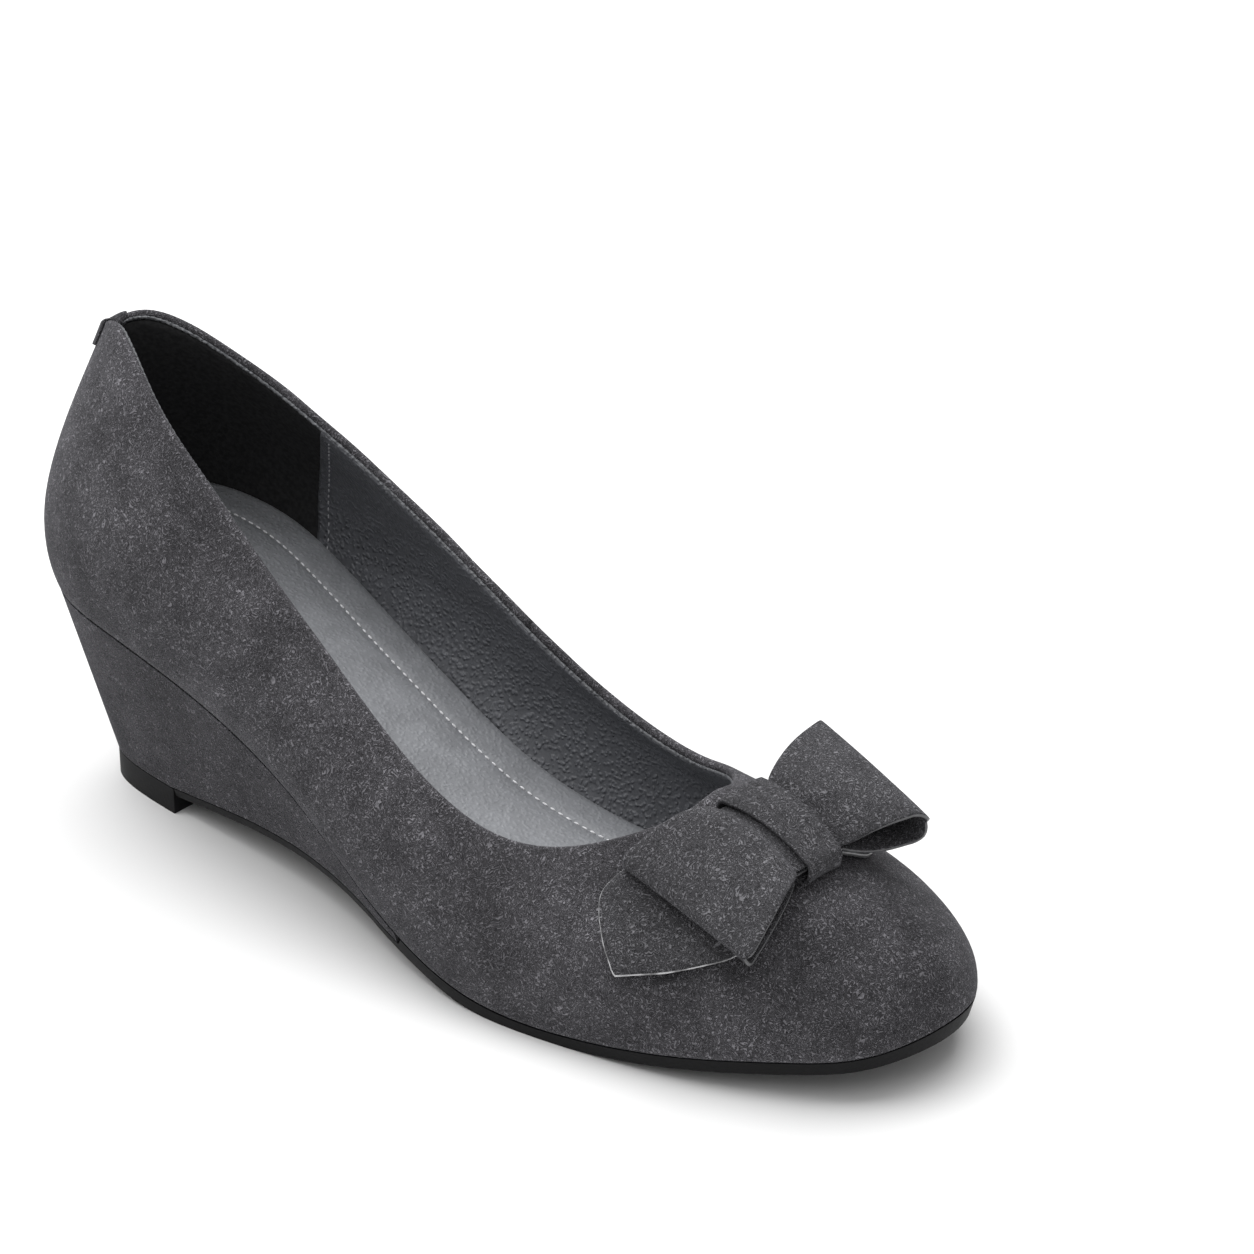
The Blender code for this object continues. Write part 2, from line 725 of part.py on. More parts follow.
def make_bow_tails():
    # side, back edge and front edge, as shares of the tail's reach
    outline = [
        (-1.016, -0.232, -0.206),
        (-0.998, -0.310, -0.172),
        (-0.960, -0.402, -0.104),
        (-0.880, -0.515, 0.028),
        (-0.760, -0.535, 0.182),
        (-0.600, -0.480, 0.330),
        (-0.420, -0.420, 0.360),
        (-0.270, -0.330, 0.300),
        (-0.170, -0.262, 0.262),
        (-0.085, -0.256, 0.256),
        (0.000, -0.255, 0.255),
        (0.085, -0.256, 0.256),
        (0.170, -0.265, 0.262),
        (0.250, -0.370, 0.280),
        (0.360, -0.410, 0.290),
        (0.500, -0.390, 0.230),
        (0.600, -0.300, 0.120),
        (0.660, -0.160, -0.020),
    ]
    rows = []
    for side, back, front in outline:
        lifted = 1.0 - min(max((abs(side) * TAIL_REACH - KNOT_WIDTH / 2 - RIBBON) / TAIL_EASE, 0), 1)
        row = []
        for along in np.linspace(back, front, 7):
            row.append(on_vamp(along * TAIL_REACH, side * TAIL_REACH, layer(lifted)))
        rows.append(np.array(row))
    return ribbon_object("bow_tails", rows, False, (0.080, 0.078, 0.083))


def make_bow_knot():
    half = GATHER_WIDTH / 2 + GAP + RIBBON / 2
    low, high = layer(0), layer(4)
    middle = (low + high) / 2
    bend = (high - low) / 2
    path = [(front, high) for front in np.linspace(-half, half, 7)]
    for angle in np.radians([60, 20, -20, -60]):
        path.append((half + 0.35 * bend * math.cos(angle), middle + bend * math.sin(angle)))
    path += [(front, low) for front in np.linspace(half, -half, 7)]
    for angle in np.radians([-60, -20, 20, 60]):
        path.append((-half - 0.35 * bend * math.cos(angle), middle + bend * math.sin(angle)))
    rows = []
    for front, up in path:
        row = []
        width = KNOT_WIDTH * (1 - KNOT_TAPER * (front + half) / (2 * half))
        for share in np.linspace(-1, 1, 5):
            side = share * width / 2 + BOW_SKEW * front
            if up > low:
                crown = KNOT_CROWN * (1 - share**2)
                crown += GATHER_CROWN * max(1 - (front / half) ** 2, 0)
                row.append(bow_point(front, side, up + crown + vamp_drop(front)))
            else:
                row.append(on_vamp(front, side, low))
        rows.append(np.array(row))
    return ribbon_object("bow_knot", rows, True, (0.088, 0.086, 0.091))


for old in list(bpy.data.objects):
    bpy.data.objects.remove(old, do_unlink=True)

make_upper()
make_insole()
make_wedge()
make_top_piece()
make_outsole()
make_back_tab()
make_bow_tails()
make_bow_loops()
make_bow_knot()
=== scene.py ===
import math

import bmesh
import bpy
import numpy as np
from mathutils import Matrix, Vector, noise
from mathutils.bvhtree import BVHTree


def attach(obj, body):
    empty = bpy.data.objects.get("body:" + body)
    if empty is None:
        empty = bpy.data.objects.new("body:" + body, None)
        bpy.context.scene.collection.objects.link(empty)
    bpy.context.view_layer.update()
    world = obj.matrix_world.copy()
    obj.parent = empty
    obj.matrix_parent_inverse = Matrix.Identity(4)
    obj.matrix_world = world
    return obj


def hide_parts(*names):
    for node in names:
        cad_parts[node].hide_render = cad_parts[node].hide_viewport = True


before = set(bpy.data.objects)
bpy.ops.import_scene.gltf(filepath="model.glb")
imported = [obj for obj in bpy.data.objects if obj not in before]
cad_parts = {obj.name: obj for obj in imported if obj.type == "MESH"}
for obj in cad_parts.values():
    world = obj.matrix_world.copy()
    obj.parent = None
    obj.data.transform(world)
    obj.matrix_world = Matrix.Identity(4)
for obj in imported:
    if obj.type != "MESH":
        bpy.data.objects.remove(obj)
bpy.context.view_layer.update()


# Camera, floor and studio light
# The camera looks down on the outer side of the right shoe, from in front of the toe,
# through a long lens. Three softboxes light it, and a wide floor takes its shadow.

CAMERA_PLACE = (0.6102, -0.5997, 0.4634)
CAMERA_TILT = 63.26
CAMERA_TURN = 38.684
LENS_PIXELS = 4199.2
PHOTO_PIXELS = 1254
SENSOR = 36.0
FLOOR_HALF_WIDTH = 6.0
FLOOR_WHITE = 0.70
SKY_STRENGTH = 0.56
SOFTBOXES = [
    # name, place, point aimed at, side, watts
    ("overhead_softbox", (-0.35, 0.40, 1.6), (0.08, 0.0, 0.0), 2.0, 40.0),
    ("side_softbox", (-0.95, -0.35, 1.5), (0.05, 0.0, 0.05), 1.6, 18.0),
    ("front_softbox", (0.55, -0.95, 1.5), (0.02, 0.0, 0.05), 1.2, 5.0),
]

camera_data = bpy.data.cameras.new("photo_camera")
camera_data.sensor_width = SENSOR
camera_data.lens = LENS_PIXELS / PHOTO_PIXELS * SENSOR
camera_data.clip_start = 0.01
camera = bpy.data.objects.new("photo_camera", camera_data)
camera.location = CAMERA_PLACE
camera.rotation_euler = (math.radians(CAMERA_TILT), 0.0, math.radians(CAMERA_TURN))
bpy.context.scene.collection.objects.link(camera)
bpy.context.scene.camera = camera
bpy.context.scene.view_settings.view_transform = "Standard"

floor_mesh = bpy.data.meshes.new("studio_floor")
shape = bmesh.new()
bmesh.ops.create_grid(shape, x_segments=1, y_segments=1, size=FLOOR_HALF_WIDTH)
shape.to_mesh(floor_mesh)
shape.free()
floor = bpy.data.objects.new("studio_floor", floor_mesh)
bpy.context.scene.collection.objects.link(floor)
floor_material = bpy.data.materials.new("white_floor")
floor_material.use_nodes = True
floor_shader = floor_material.node_tree.nodes["Principled BSDF"]
floor_shader.inputs["Base Color"].default_value = (FLOOR_WHITE, FLOOR_WHITE, FLOOR_WHITE, 1.0)
floor_shader.inputs["Roughness"].default_value = 0.9
floor_shader.inputs["Specular IOR Level"].default_value = 0.1
floor_mesh.materials.append(floor_material)

world = bpy.data.worlds.new("studio_world")
world.use_nodes = True
sky = world.node_tree.nodes["Background"]
sky.inputs["Color"].default_value = (1.0, 1.0, 1.0, 1.0)
sky.inputs["Strength"].default_value = SKY_STRENGTH
bpy.context.scene.world = world

for name, place, aim, side, watts in SOFTBOXES:
    light = bpy.data.lights.new(name, "AREA")
    light.size = side
    light.energy = watts
    lamp = bpy.data.objects.new(name, light)
    lamp.location = place
    lamp.rotation_euler = (Vector(aim) - Vector(place)).to_track_quat("-Z", "Y").to_euler()
    bpy.context.scene.collection.objects.link(lamp)


# Suede upper
# One skin of dark grey suede, 0.9 mm thick, pulled over the last and turned in at the
# topline. It is lasted under at the feather line, where its edge rolls in over the
# wedge and the sole, and it is joined by one upright seam on the big toe side.

LAST_LENGTH = 0.238
BALL_WIDTH = 0.076
SEAT_HEIGHT = 0.0495
COLLAR_DEPTH = 0.060
TOE_SPRING = 0.010
SOLE_THICKNESS = 0.003
GAP = 0.0003
WEDGE_DRAFT = 0.26
TOP_PIECE_HEIGHT = 0.0063
TOP_PIECE_LENGTH = 0.0285
ORIGIN_X = (SEAT_HEIGHT - TOP_PIECE_HEIGHT) * WEDGE_DRAFT + TOP_PIECE_LENGTH / 2
HALF_STEPS = 200
STEPS = 2 * HALF_STEPS
SUEDE = 0.0009
WALL = 0.002
FOLD_LEG = 0.0026
FOLD_TURN = 0.0016
SKIN_SWAY = 0.00016
SKIN_SWAY_SCALE = 75.0
SEAM_INDEX = 289
FAR_FROM_SEAM = 50.0
EDGE_HIGHLIGHT_WIDTH = 0.0012
EDGE_HIGHLIGHT_FADE = 0.0006
EDGE_SHEEN = 1.4
CLOUD_SCALE = 46.0
FLECK_SCALE = 150.0
NAP_SCALE = 980.0
NAP_TURNS = 29.0
NAP_LIGHT_AND_SHADE = (0.54, 1.98)
NAP_DEPTH = 0.0008
PIT_SCALE = 1300.0
PIT_SHADE = 0.66
FUZZ_SCALE = 2600.0
SUEDE_COLOR = (0.073, 0.071, 0.077)
WELD = 2e-6
LASTED_ROWS = [
    # share of the way up, distance out, lift
    (0.0, -0.00100, 0.00012),
    (0.0, -0.00066, 0.0),
    (0.006, -0.00050, 0.0),
]

FEATHER = [
    # station, outer, inner, rise, spring
    (0.000, 0.000, 0.000, 1.000, 0.00),
    (0.034, 0.257, 0.268, 0.985, 0.00),
    (0.126, 0.362, 0.366, 0.940, 0.00),
    (0.252, 0.395, 0.350, 0.800, 0.00),
    (0.390, 0.437, 0.309, 0.512, 0.00),
    (0.504, 0.500, 0.318, 0.180, 0.00),
    (0.622, 0.546, 0.382, 0.008, 0.00),
    (0.723, 0.521, 0.461, 0.000, 0.00),
    (0.828, 0.461, 0.491, 0.000, 0.30),
    (0.912, 0.353, 0.405, 0.000, 0.56),
    (0.971, 0.222, 0.262, 0.000, 0.76),
    (1.000, -0.040, 0.040, 0.000, 0.98),
]
TOPLINE = [
    # station, outer, inner, depth
    (0.035, 0.000, 0.000, 0.938),
    (0.069, 0.078, 0.074, 1.007),
    (0.144, 0.186, 0.186, 0.901),
    (0.229, 0.258, 0.253, 0.807),
    (0.322, 0.315, 0.297, 0.795),
    (0.414, 0.357, 0.320, 0.815),
    (0.507, 0.391, 0.343, 0.712),
    (0.591, 0.401, 0.347, 0.580),
    (0.666, 0.342, 0.302, 0.520),
    (0.714, 0.226, 0.232, 0.530),
    (0.740, 0.110, 0.118, 0.545),
    (0.748, -0.004, 0.004, 0.550),
]
FULLNESS = [
    # lower reach, lower bulge, lower rise, upper reach, upper bulge, upper drop
    (0.33, 0.164, 0.33, 0.33, 0.070, 0.33),
    (0.33, 0.179, 0.33, 0.33, 0.045, 0.33),
    (0.33, 0.168, 0.33, 0.33, 0.082, 0.33),
    (0.33, 0.160, 0.33, 0.33, 0.080, 0.33),
    (0.33, 0.150, 0.34, 0.33, 0.080, 0.33),
    (0.30, 0.130, 0.36, 0.33, 0.075, 0.33),
    (0.22, 0.100, 0.40, 0.36, 0.070, 0.32),
    (0.14, 0.070, 0.46, 0.40, 0.045, 0.30),
    (0.08, 0.045, 0.52, 0.44, 0.025, 0.27),
    (0.03, 0.030, 0.56, 0.46, 0.010, 0.25),
    (0.00, 0.022, 0.58, 0.48, 0.000, 0.24),
    (0.00, 0.018, 0.59, 0.49, 0.000, 0.24),
]


def table_columns(table, scales):
    return [np.array(values) * scale for values, scale in zip(zip(*table), scales)]


def unit(vectors):
    return vectors / np.linalg.norm(vectors, axis=-1, keepdims=True)


def flat(vectors):
    return vectors * np.array([1.0, 1.0, 0.0])


def outward(ring):
    """Level directions that point out of a closed ring."""
    along = unit(flat(np.roll(ring, -1, axis=0) - np.roll(ring, 1, axis=0)))
    return np.stack([along[:, 1], -along[:, 0], along[:, 2]], axis=1)


def around(x, outer, inner, z):
    """Turn the sections into a closed loop: back, outer side, tip, inner side."""
    outer_side = np.stack([x, -outer, z], axis=1)
    inner_side = np.stack([x, inner, z], axis=1)
    return np.vstack([outer_side, inner_side[1:-1][::-1]])


def closed_curve(points, knots, period, where):
    """Points of the smooth closed curve through the given points."""
    count = len(points)
    ends = np.append(knots, knots[0] + period)
    after = np.diff(ends)
    before = np.roll(after, 1)
    matrix = np.zeros((count, count))
    for i in range(count):
        matrix[i, i - 1] += 1 / before[i]
        matrix[i, i] += 2 * (1 / before[i] + 1 / after[i])
        matrix[i, (i + 1) % count] += 1 / after[i]
    ahead = (np.roll(points, -1, axis=0) - points) / after[:, None] ** 2
    behind = (points - np.roll(points, 1, axis=0)) / before[:, None] ** 2
    tangents = np.linalg.solve(matrix, 3 * (ahead + behind))
    index = np.clip(np.searchsorted(ends, where, side="right") - 1, 0, count - 1)
    span = ends[index + 1] - ends[index]
    t = ((where - ends[index]) / span)[:, None]
    following = (index + 1) % count
    return (
        points[index] * (2 * t**3 - 3 * t**2 + 1)
        + points[following] * (3 * t**2 - 2 * t**3)
        + tangents[index] * span[:, None] * (t**3 - 2 * t**2 + t)
        + tangents[following] * span[:, None] * (t**3 - t**2)
    )


def last_rings():
    """Feather line, lower handles, upper handles and topline of the last."""
    rise_unit = SEAT_HEIGHT - SOLE_THICKNESS - GAP
    x, outer, inner, rise, spring = table_columns(
        FEATHER, (LAST_LENGTH, BALL_WIDTH, BALL_WIDTH, rise_unit, TOE_SPRING)
    )
    height = SOLE_THICKNESS + GAP + rise + spring
    feather = around(x - ORIGIN_X, outer, inner, height)
    x, outer, inner, depth = table_columns(
        TOPLINE, (LAST_LENGTH, BALL_WIDTH, BALL_WIDTH, COLLAR_DEPTH)
    )
    topline = around(x - ORIGIN_X, outer, inner, height + depth)
    mirrored = list(range(len(FEATHER))) + list(range(len(FEATHER) - 2, 0, -1))
    low_reach, low_bulge, low_rise, top_reach, top_bulge, top_drop = (
        column[mirrored][:, None]
        for column in table_columns(FULLNESS, (1, BALL_WIDTH, 1, 1, BALL_WIDTH, 1))
    )
    out = outward(feather)
    across = flat(topline - feather)
    up = (topline - feather) * np.array([0.0, 0.0, 1.0])
    low_handle = feather + across * low_reach + out * low_bulge + up * low_rise
    top_handle = topline - across * top_reach + out * top_bulge - up * top_drop
    steps = np.linalg.norm(np.roll(feather, -1, axis=0) - feather, axis=1)
    half = len(FEATHER) - 1
    half_knots = np.concatenate([[0.0], np.cumsum((steps[:half] + steps[half:][::-1]) / 2)])
    period = 2 * half_knots[-1]
    knots = np.concatenate([half_knots, period - half_knots[1:-1][::-1]])
    where = np.linspace(0, period, STEPS, endpoint=False)
    return [
        closed_curve(ring, knots, period, where)
        for ring in (feather, low_handle, top_handle, topline)
    ]


RINGS = last_rings()
FEATHER_RING = RINGS[0]
FEATHER_OUT = outward(FEATHER_RING)


def skin_ring(share):
    """The upper's outer face at a share of the way from feather line to topline."""
    rest = 1 - share
    weights = (rest**3, 3 * rest**2 * share, 3 * rest * share**2, share**3)
    return sum(weight * ring for weight, ring in zip(weights, RINGS))


def skin_normals(share):
    ring = skin_ring(share)
    along = np.roll(ring, -1, axis=0) - np.roll(ring, 1, axis=0)
    upward = skin_ring(min(share + 0.01, 1)) - skin_ring(max(share - 0.01, 0))
    return unit(np.cross(along, upward))


TOP_NORMAL = skin_normals(1.0)
TOP_UPWARD = unit(RINGS[3] - skin_ring(0.985))


def near_topline(out, up):
    """A ring placed by its distance out of the topline and up from it."""
    return RINGS[3] + TOP_NORMAL * out + TOP_UPWARD * up


def pick(ring, index):
    """Points of a closed ring at fractional indices."""
    low = np.floor(index).astype(int)
    share = (index - low)[:, None]
    return ring[low % STEPS] * (1 - share) + ring[(low + 1) % STEPS] * share


def bent_grid(places, weld):
    places = np.asarray(places)
    rows, columns = places.shape[0] - 1, places.shape[1] - 1
    shape = bmesh.new()
    bmesh.ops.create_grid(shape, x_segments=columns, y_segments=rows, size=1.0)
    for vertex in shape.verts:
        column = round((vertex.co.x + 1) / 2 * columns)
        row = round((vertex.co.y + 1) / 2 * rows)
        vertex.co = places[row, column]
    if weld:
        bmesh.ops.remove_doubles(shape, verts=shape.verts, dist=WELD)
    return shape


def loft(name, places, weld=True):
    """A sheet of quads bent from a flat grid onto rows of places."""
    return finish_mesh(name, bent_grid(places, weld))


def finish_mesh(name, shape):
    mesh = bpy.data.meshes.new(name)
    shape.to_mesh(mesh)
    shape.free()
    mesh.shade_smooth()
    piece = bpy.data.objects.new(name, mesh)
    bpy.context.scene.collection.objects.link(piece)
    return piece


def thicken(piece, thickness, offset=0.0):
    wall = piece.modifiers.new("thickness", "SOLIDIFY")
    wall.thickness = thickness
    wall.offset = offset
    return wall


def fit(piece, material, slot, *nodes):
    """Give a piece its material and its place in the model."""
    piece.data.materials.append(material)
    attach(piece, "root")
    if nodes:
        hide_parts(*nodes)


class Finish:
    """A material with short names for the nodes that build it."""

    def __init__(self, name, roughness, specular=0.3):
        self.material = bpy.data.materials.new(name)
        self.material.use_nodes = True
        self.tree = self.material.node_tree
        self.shader = self.tree.nodes["Principled BSDF"]
        self.shader.inputs["Roughness"].default_value = roughness
        self.shader.inputs["Specular IOR Level"].default_value = specular
        self.place = self.add("ShaderNodeTexCoord").outputs["Object"]

    def add(self, kind, **settings):
        node = self.tree.nodes.new(kind)
        for key, value in settings.items():
            setattr(node, key, value)
        return node

    def feed(self, value, socket):
        if isinstance(value, bpy.types.NodeSocket):
            self.tree.links.new(value, socket)
        else:
            socket.default_value = value

    def noise(self, scale, detail=2.0, distortion=0.0, place=None, output="Fac"):
        node = self.add("ShaderNodeTexNoise")
        self.feed(place or self.place, node.inputs["Vector"])
        node.inputs["Scale"].default_value = scale
        node.inputs["Detail"].default_value = detail
        node.inputs["Distortion"].default_value = distortion
        return node.outputs[output]

    def cells(self, scale, place=None, feature="F1"):
        node = self.add("ShaderNodeTexVoronoi", feature=feature)
        self.feed(place or self.place, node.inputs["Vector"])
        node.inputs["Scale"].default_value = scale
        return node.outputs["Distance"]

    def math(self, operation, a, b=0.0):
        node = self.add("ShaderNodeMath", operation=operation)
        self.feed(a, node.inputs[0])
        self.feed(b, node.inputs[1])
        return node.outputs[0]

    def remap(self, value, low, high, to_low, to_high):
        node = self.add("ShaderNodeMapRange", interpolation_type="SMOOTHSTEP")
        self.feed(value, node.inputs["Value"])
        for key, number in (
            ("From Min", low), ("From Max", high), ("To Min", to_low), ("To Max", to_high)
        ):
            node.inputs[key].default_value = number
        return node.outputs["Result"]

    def vary(self, value, amount):
        """A shade that swings evenly about one with a noise."""
        return self.remap(value, 0.30, 0.70, 1 - amount, 1 + amount)

    def stretch(self, scale, turn=(0.0, 0.0, 0.0)):
        node = self.add("ShaderNodeMapping")
        self.feed(self.place, node.inputs["Vector"])
        node.inputs["Scale"].default_value = scale
        node.inputs["Rotation"].default_value = turn
        return node.outputs["Vector"]

    def warp(self, scale, amount):
        """Object coordinates pushed about by a soft noise."""
        push = self.add("ShaderNodeVectorMath", operation="MULTIPLY_ADD")
        self.feed(self.noise(scale, 1.0, output="Color"), push.inputs[0])
        push.inputs[1].default_value = (amount, amount, amount)
        self.feed(self.place, push.inputs[2])
        return push.outputs["Vector"]

    def tint(self, color, *shades):
        """Base colour times each shade value."""
        shade = shades[0]
        for other in shades[1:]:
            shade = self.math("MULTIPLY", shade, other)
        node = self.add("ShaderNodeVectorMath", operation="SCALE")
        node.inputs[0].default_value = color
        self.feed(shade, node.inputs["Scale"])
        self.feed(node.outputs["Vector"], self.shader.inputs["Base Color"])

    def bump(self, *layers):
        """Bump layers of (height, distance, strength), coarse first."""
        before = None
        for height, distance, strength in layers:
            node = self.add("ShaderNodeBump")
            node.inputs["Distance"].default_value = distance
            node.inputs["Strength"].default_value = strength
            self.feed(height, node.inputs["Height"])
            if before is not None:
                self.feed(before, node.inputs["Normal"])
            before = node.outputs["Normal"]
        self.feed(before, self.shader.inputs["Normal"])

    def nap(self, weight, tint):
        """The soft shine of raised fibres seen from the side."""
        self.shader.inputs["Sheen Weight"].default_value = weight
        self.shader.inputs["Sheen Roughness"].default_value = 0.45
        self.shader.inputs["Sheen Tint"].default_value = (*tint, 1.0)


def suede(name, color, contrast=1.0, seam=False):
    """Brushed suede: short curled nap, lighter on its strokes and darker in its pits as painted
    highlight and painted shade, and cloudy patches where it lies another way.
    """
    finish = Finish(name, 0.95, 0.10)
    clouds = finish.noise(CLOUD_SCALE, 3.0, 0.6)
    flecks = finish.noise(FLECK_SCALE, 2.0, 0.4)
    swirl = finish.noise(NAP_SCALE, 0.0, 0.9, finish.warp(170.0, 0.004))
    wave = finish.math("SINE", finish.math("MULTIPLY", swirl, NAP_TURNS))
    gate = finish.remap(finish.noise(900.0, 1.0, 0.5), 0.34, 0.58, 0.72, 1.0)
    strokes = finish.math("MULTIPLY", finish.remap(wave, -0.3, 0.95, 0.0, 1.0), gate)
    pits = finish.remap(finish.noise(PIT_SCALE, 1.0, 0.8), 0.32, 0.48, 1.0, 0.0)
    fuzz = finish.noise(FUZZ_SCALE, 2.0, 0.5)
    # The nap's raised strokes are painted lighter and its pits darker. This is painted highlight
    # and painted shade of the nap's relief, laid over the strokes' bump.
    shades = [
        finish.vary(clouds, 0.24 * contrast),
        finish.vary(flecks, 0.12 * contrast),
        finish.remap(strokes, 0.0, 0.9, *NAP_LIGHT_AND_SHADE),
        finish.remap(pits, 0.0, 1.0, 1.0, PIT_SHADE),
        finish.vary(fuzz, 0.15),
    ]
    layers = [(clouds, 0.0006, 0.25), (strokes, NAP_DEPTH, 1.0), (fuzz, 0.00015, 0.5)]
    if seam:
        from_seam = finish.add("ShaderNodeAttribute", attribute_name="seam_distance")
        valley = finish.math("ABSOLUTE", from_seam.outputs["Fac"])
        shades.append(finish.remap(valley, 0.10, 0.45, 0.30, 1.0))
        layers.insert(1, (finish.remap(valley, 0.0, 1.3, 0.0, 1.0), 0.0006, 0.9))
        # Painted highlight: the upper's rolled edges at the feather line and the topline are
        # lightened through the edge attribute.
        edge_highlight = finish.add("ShaderNodeAttribute", attribute_name="edge")
        shades.append(finish.remap(edge_highlight.outputs["Fac"], 0.0, 1.0, 1.0, EDGE_SHEEN))
    finish.tint(color, *shades)
    finish.bump(*layers)
    finish.nap(0.14, (0.72, 0.72, 0.78))
    return finish.material


upper_rows = []
for share, out, up in LASTED_ROWS:
    upper_rows.append(skin_ring(share) + skin_normals(share) * out + np.array([0, 0, up]))
for share in np.linspace(0.014, 0.975, 40):
    ring = skin_ring(share) - skin_normals(share) * SUEDE / 2
    upper_rows.append(ring)
fold_radius = (WALL - SUEDE) / 2
for angle in np.radians(np.linspace(0, 180, 7)):
    out = -WALL / 2 + fold_radius * math.cos(angle)
    up = -WALL / 2 + fold_radius * math.sin(angle)
    upper_rows.append(near_topline(out, up))
for up in (-FOLD_TURN, -WALL / 2 - FOLD_LEG):
    upper_rows.append(near_topline(-WALL / 2 - fold_radius, up))
upper_places = np.array(upper_rows)
for row in upper_places[len(LASTED_ROWS):-2]:
    for point in row:
        sway = noise.noise(Vector(point) * SKIN_SWAY_SCALE) * SKIN_SWAY
        point += sway * np.array([0.3, -1.0 if point[1] < 0 else 1.0, 0.4])
upper_places = np.concatenate([upper_places, upper_places[:, :1]], axis=1)
upper = loft("suede_upper", upper_places)

seam_line = np.array([skin_ring(share)[SEAM_INDEX] for share in np.linspace(0, 1, 12)])
seam_x = np.interp([v.co.z for v in upper.data.vertices], seam_line[:, 2], seam_line[:, 0])
from_seam = upper.data.attributes.new("seam_distance", "FLOAT", "POINT")
for vertex, middle in zip(upper.data.vertices, seam_x):
    millimetres = (vertex.co.x - middle) * 1000 if vertex.co.y > 0 else FAR_FROM_SEAM
    from_seam.data[vertex.index].value = millimetres
# The edge attribute marks a painted highlight along the rolled edges at the feather line and the
# topline. It is full within 0.6 mm of them and fades out by 1.2 mm.
edge_highlight = upper.data.attributes.new("edge", "FLOAT", "POINT")
for vertex in upper.data.vertices:
    place = np.array(vertex.co)
    away = min(np.linalg.norm(ring - place, axis=1).min() for ring in (FEATHER_RING, RINGS[3]))
    edge_highlight.data[vertex.index].value = min(max((EDGE_HIGHLIGHT_WIDTH - away) / EDGE_HIGHLIGHT_FADE, 0), 1)
thicken(upper, SUEDE)
suede_upper = suede("dark_grey_suede", SUEDE_COLOR, seam=True)
fit(upper, suede_upper, "upper_suede", "upper")


# Heel grip
# A piece of matte black microfibre glued round the inside of the heel. Its front
# edges curve down to the insole and lie under the leather lining.

GRIP = 0.0005
GLUE = 0.00005
GRIP_TOP = 0.975
GRIP_LAP = 6
GRIP_COLUMNS = 241
SHEET_BOTTOM = 0.0012 / COLLAR_DEPTH


def inside_sheet(name, first, last, depth, columns, shares):
    """A sheet on the inside of the upper between two edges that may curve."""
    rows = []
    for share in shares:
        ring = skin_ring(share) - skin_normals(share) * depth(share)
        rows.append(pick(ring, np.linspace(first(share), last(share), columns)))
    return loft(name, rows, weld=False)


def grip_edge(share):
    """Ring index of the grip's front edge on the outer side. It leans forward higher up."""
    return 41 + 26 * max(share - 0.3, 0) ** 1.6


grip = inside_sheet(
    "heel_grip",
    lambda share: -grip_edge(share) - GRIP_LAP,
    lambda share: grip_edge(share) + GRIP_LAP,
    lambda share: WALL + GRIP / 2 + GLUE,
    GRIP_COLUMNS,
    np.linspace(GRIP_TOP, SHEET_BOTTOM, 30),
)
thicken(grip, GRIP)
grip_finish = Finish("black_microfibre", 0.9, 0.2)
grip_finish.tint((0.024, 0.024, 0.025), grip_finish.remap(
    grip_finish.noise(900.0, 3.0), 0.3, 0.7, 0.75, 1.3
))
grip_finish.bump((grip_finish.noise(1400.0, 2.0), 0.0002, 0.5))
fit(grip, grip_finish.material, "insole_leather")


# Leather lining
# Grey lining leather from the heel grip round the toe, glued inside the suede. Its top
# edge is rolled into a fine puckered bead just under the suede's turned edge, and its
# rear edge is stitched down over the grip.

LINING = 0.00045
LINING_COLUMNS = 521
LINING_TOP = 0.985
LINING_GLUE = 0.00012
LINING_EASE = 0.00040
LINING_EASE_SHARE = 0.06
PUCKER = 0.00016
PUCKERED_ROWS = 7
BEAD_RADIUS = 0.00036
BEAD_OUT = -WALL - 0.00032
BEAD_UP = -0.00070
BEAD_COLUMNS = 1600
BEAD_WAVES = 0.16
LINING_PITCH = 0.0019
LINING_STITCH = 0.0011
LINING_THREAD = 0.00019
LINING_STITCH_RISE = 0.00008
LINING_STITCH_INSET = 2.6


def leather(name, color, grain=1.0):
    """Smooth lining leather with a fine pebble grain and soft wrinkles."""
    finish = Finish(name, 0.52, 0.42)
    pebbles = finish.cells(1050.0, finish.warp(500.0, 0.0009), "SMOOTH_F1")
    pores = finish.noise(2600.0, 2.0)
    wrinkles = finish.noise(120.0, 3.0, 0.8, finish.stretch((0.45, 1.0, 1.6)))
    folds = finish.noise(210.0, 2.0, 1.2, finish.stretch((1.7, 1.0, 0.5), (0.0, 0.5, 0.3)))
    creases = finish.remap(
        finish.math("ABSOLUTE", finish.math("SUBTRACT", folds, 0.5)), 0.0, 0.05, 0.0, 1.0
    )
    # The pebble grain's grooves and the creases are painted darker and the pebble tops a little
    # lighter. This is painted shade and painted highlight of the grain's relief.
    finish.tint(
        color,
        finish.remap(wrinkles, 0.3, 0.7, 0.90, 1.08),
        finish.remap(pebbles, 0.1, 0.6, 1.0 + 0.07 * grain, 1.0 - 0.22 * grain),
        finish.vary(pores, 0.05),
        finish.remap(creases, 0.0, 1.0, 1 - 0.05 * grain, 1.01),
    )
    finish.bump(
        (wrinkles, 0.0010, 0.28 * grain),
        (creases, 0.0003, 0.15 * grain),
        (finish.remap(pebbles, 0.05, 0.55, 1.0, 0.0), 0.00040, 1.0 * grain),
        (pores, 0.00008, 0.25),
    )
    return finish.material


def lining_last(share):
    return STEPS - grip_edge(share)


def lining_depth(share):
    """Depth of the lining's middle: it eases inwards below the bead, over the grip."""
    eased = min(max((1 - share) / LINING_EASE_SHARE, 0), 1)
    return WALL + LINING_GLUE + LINING / 2 + LINING_EASE * eased


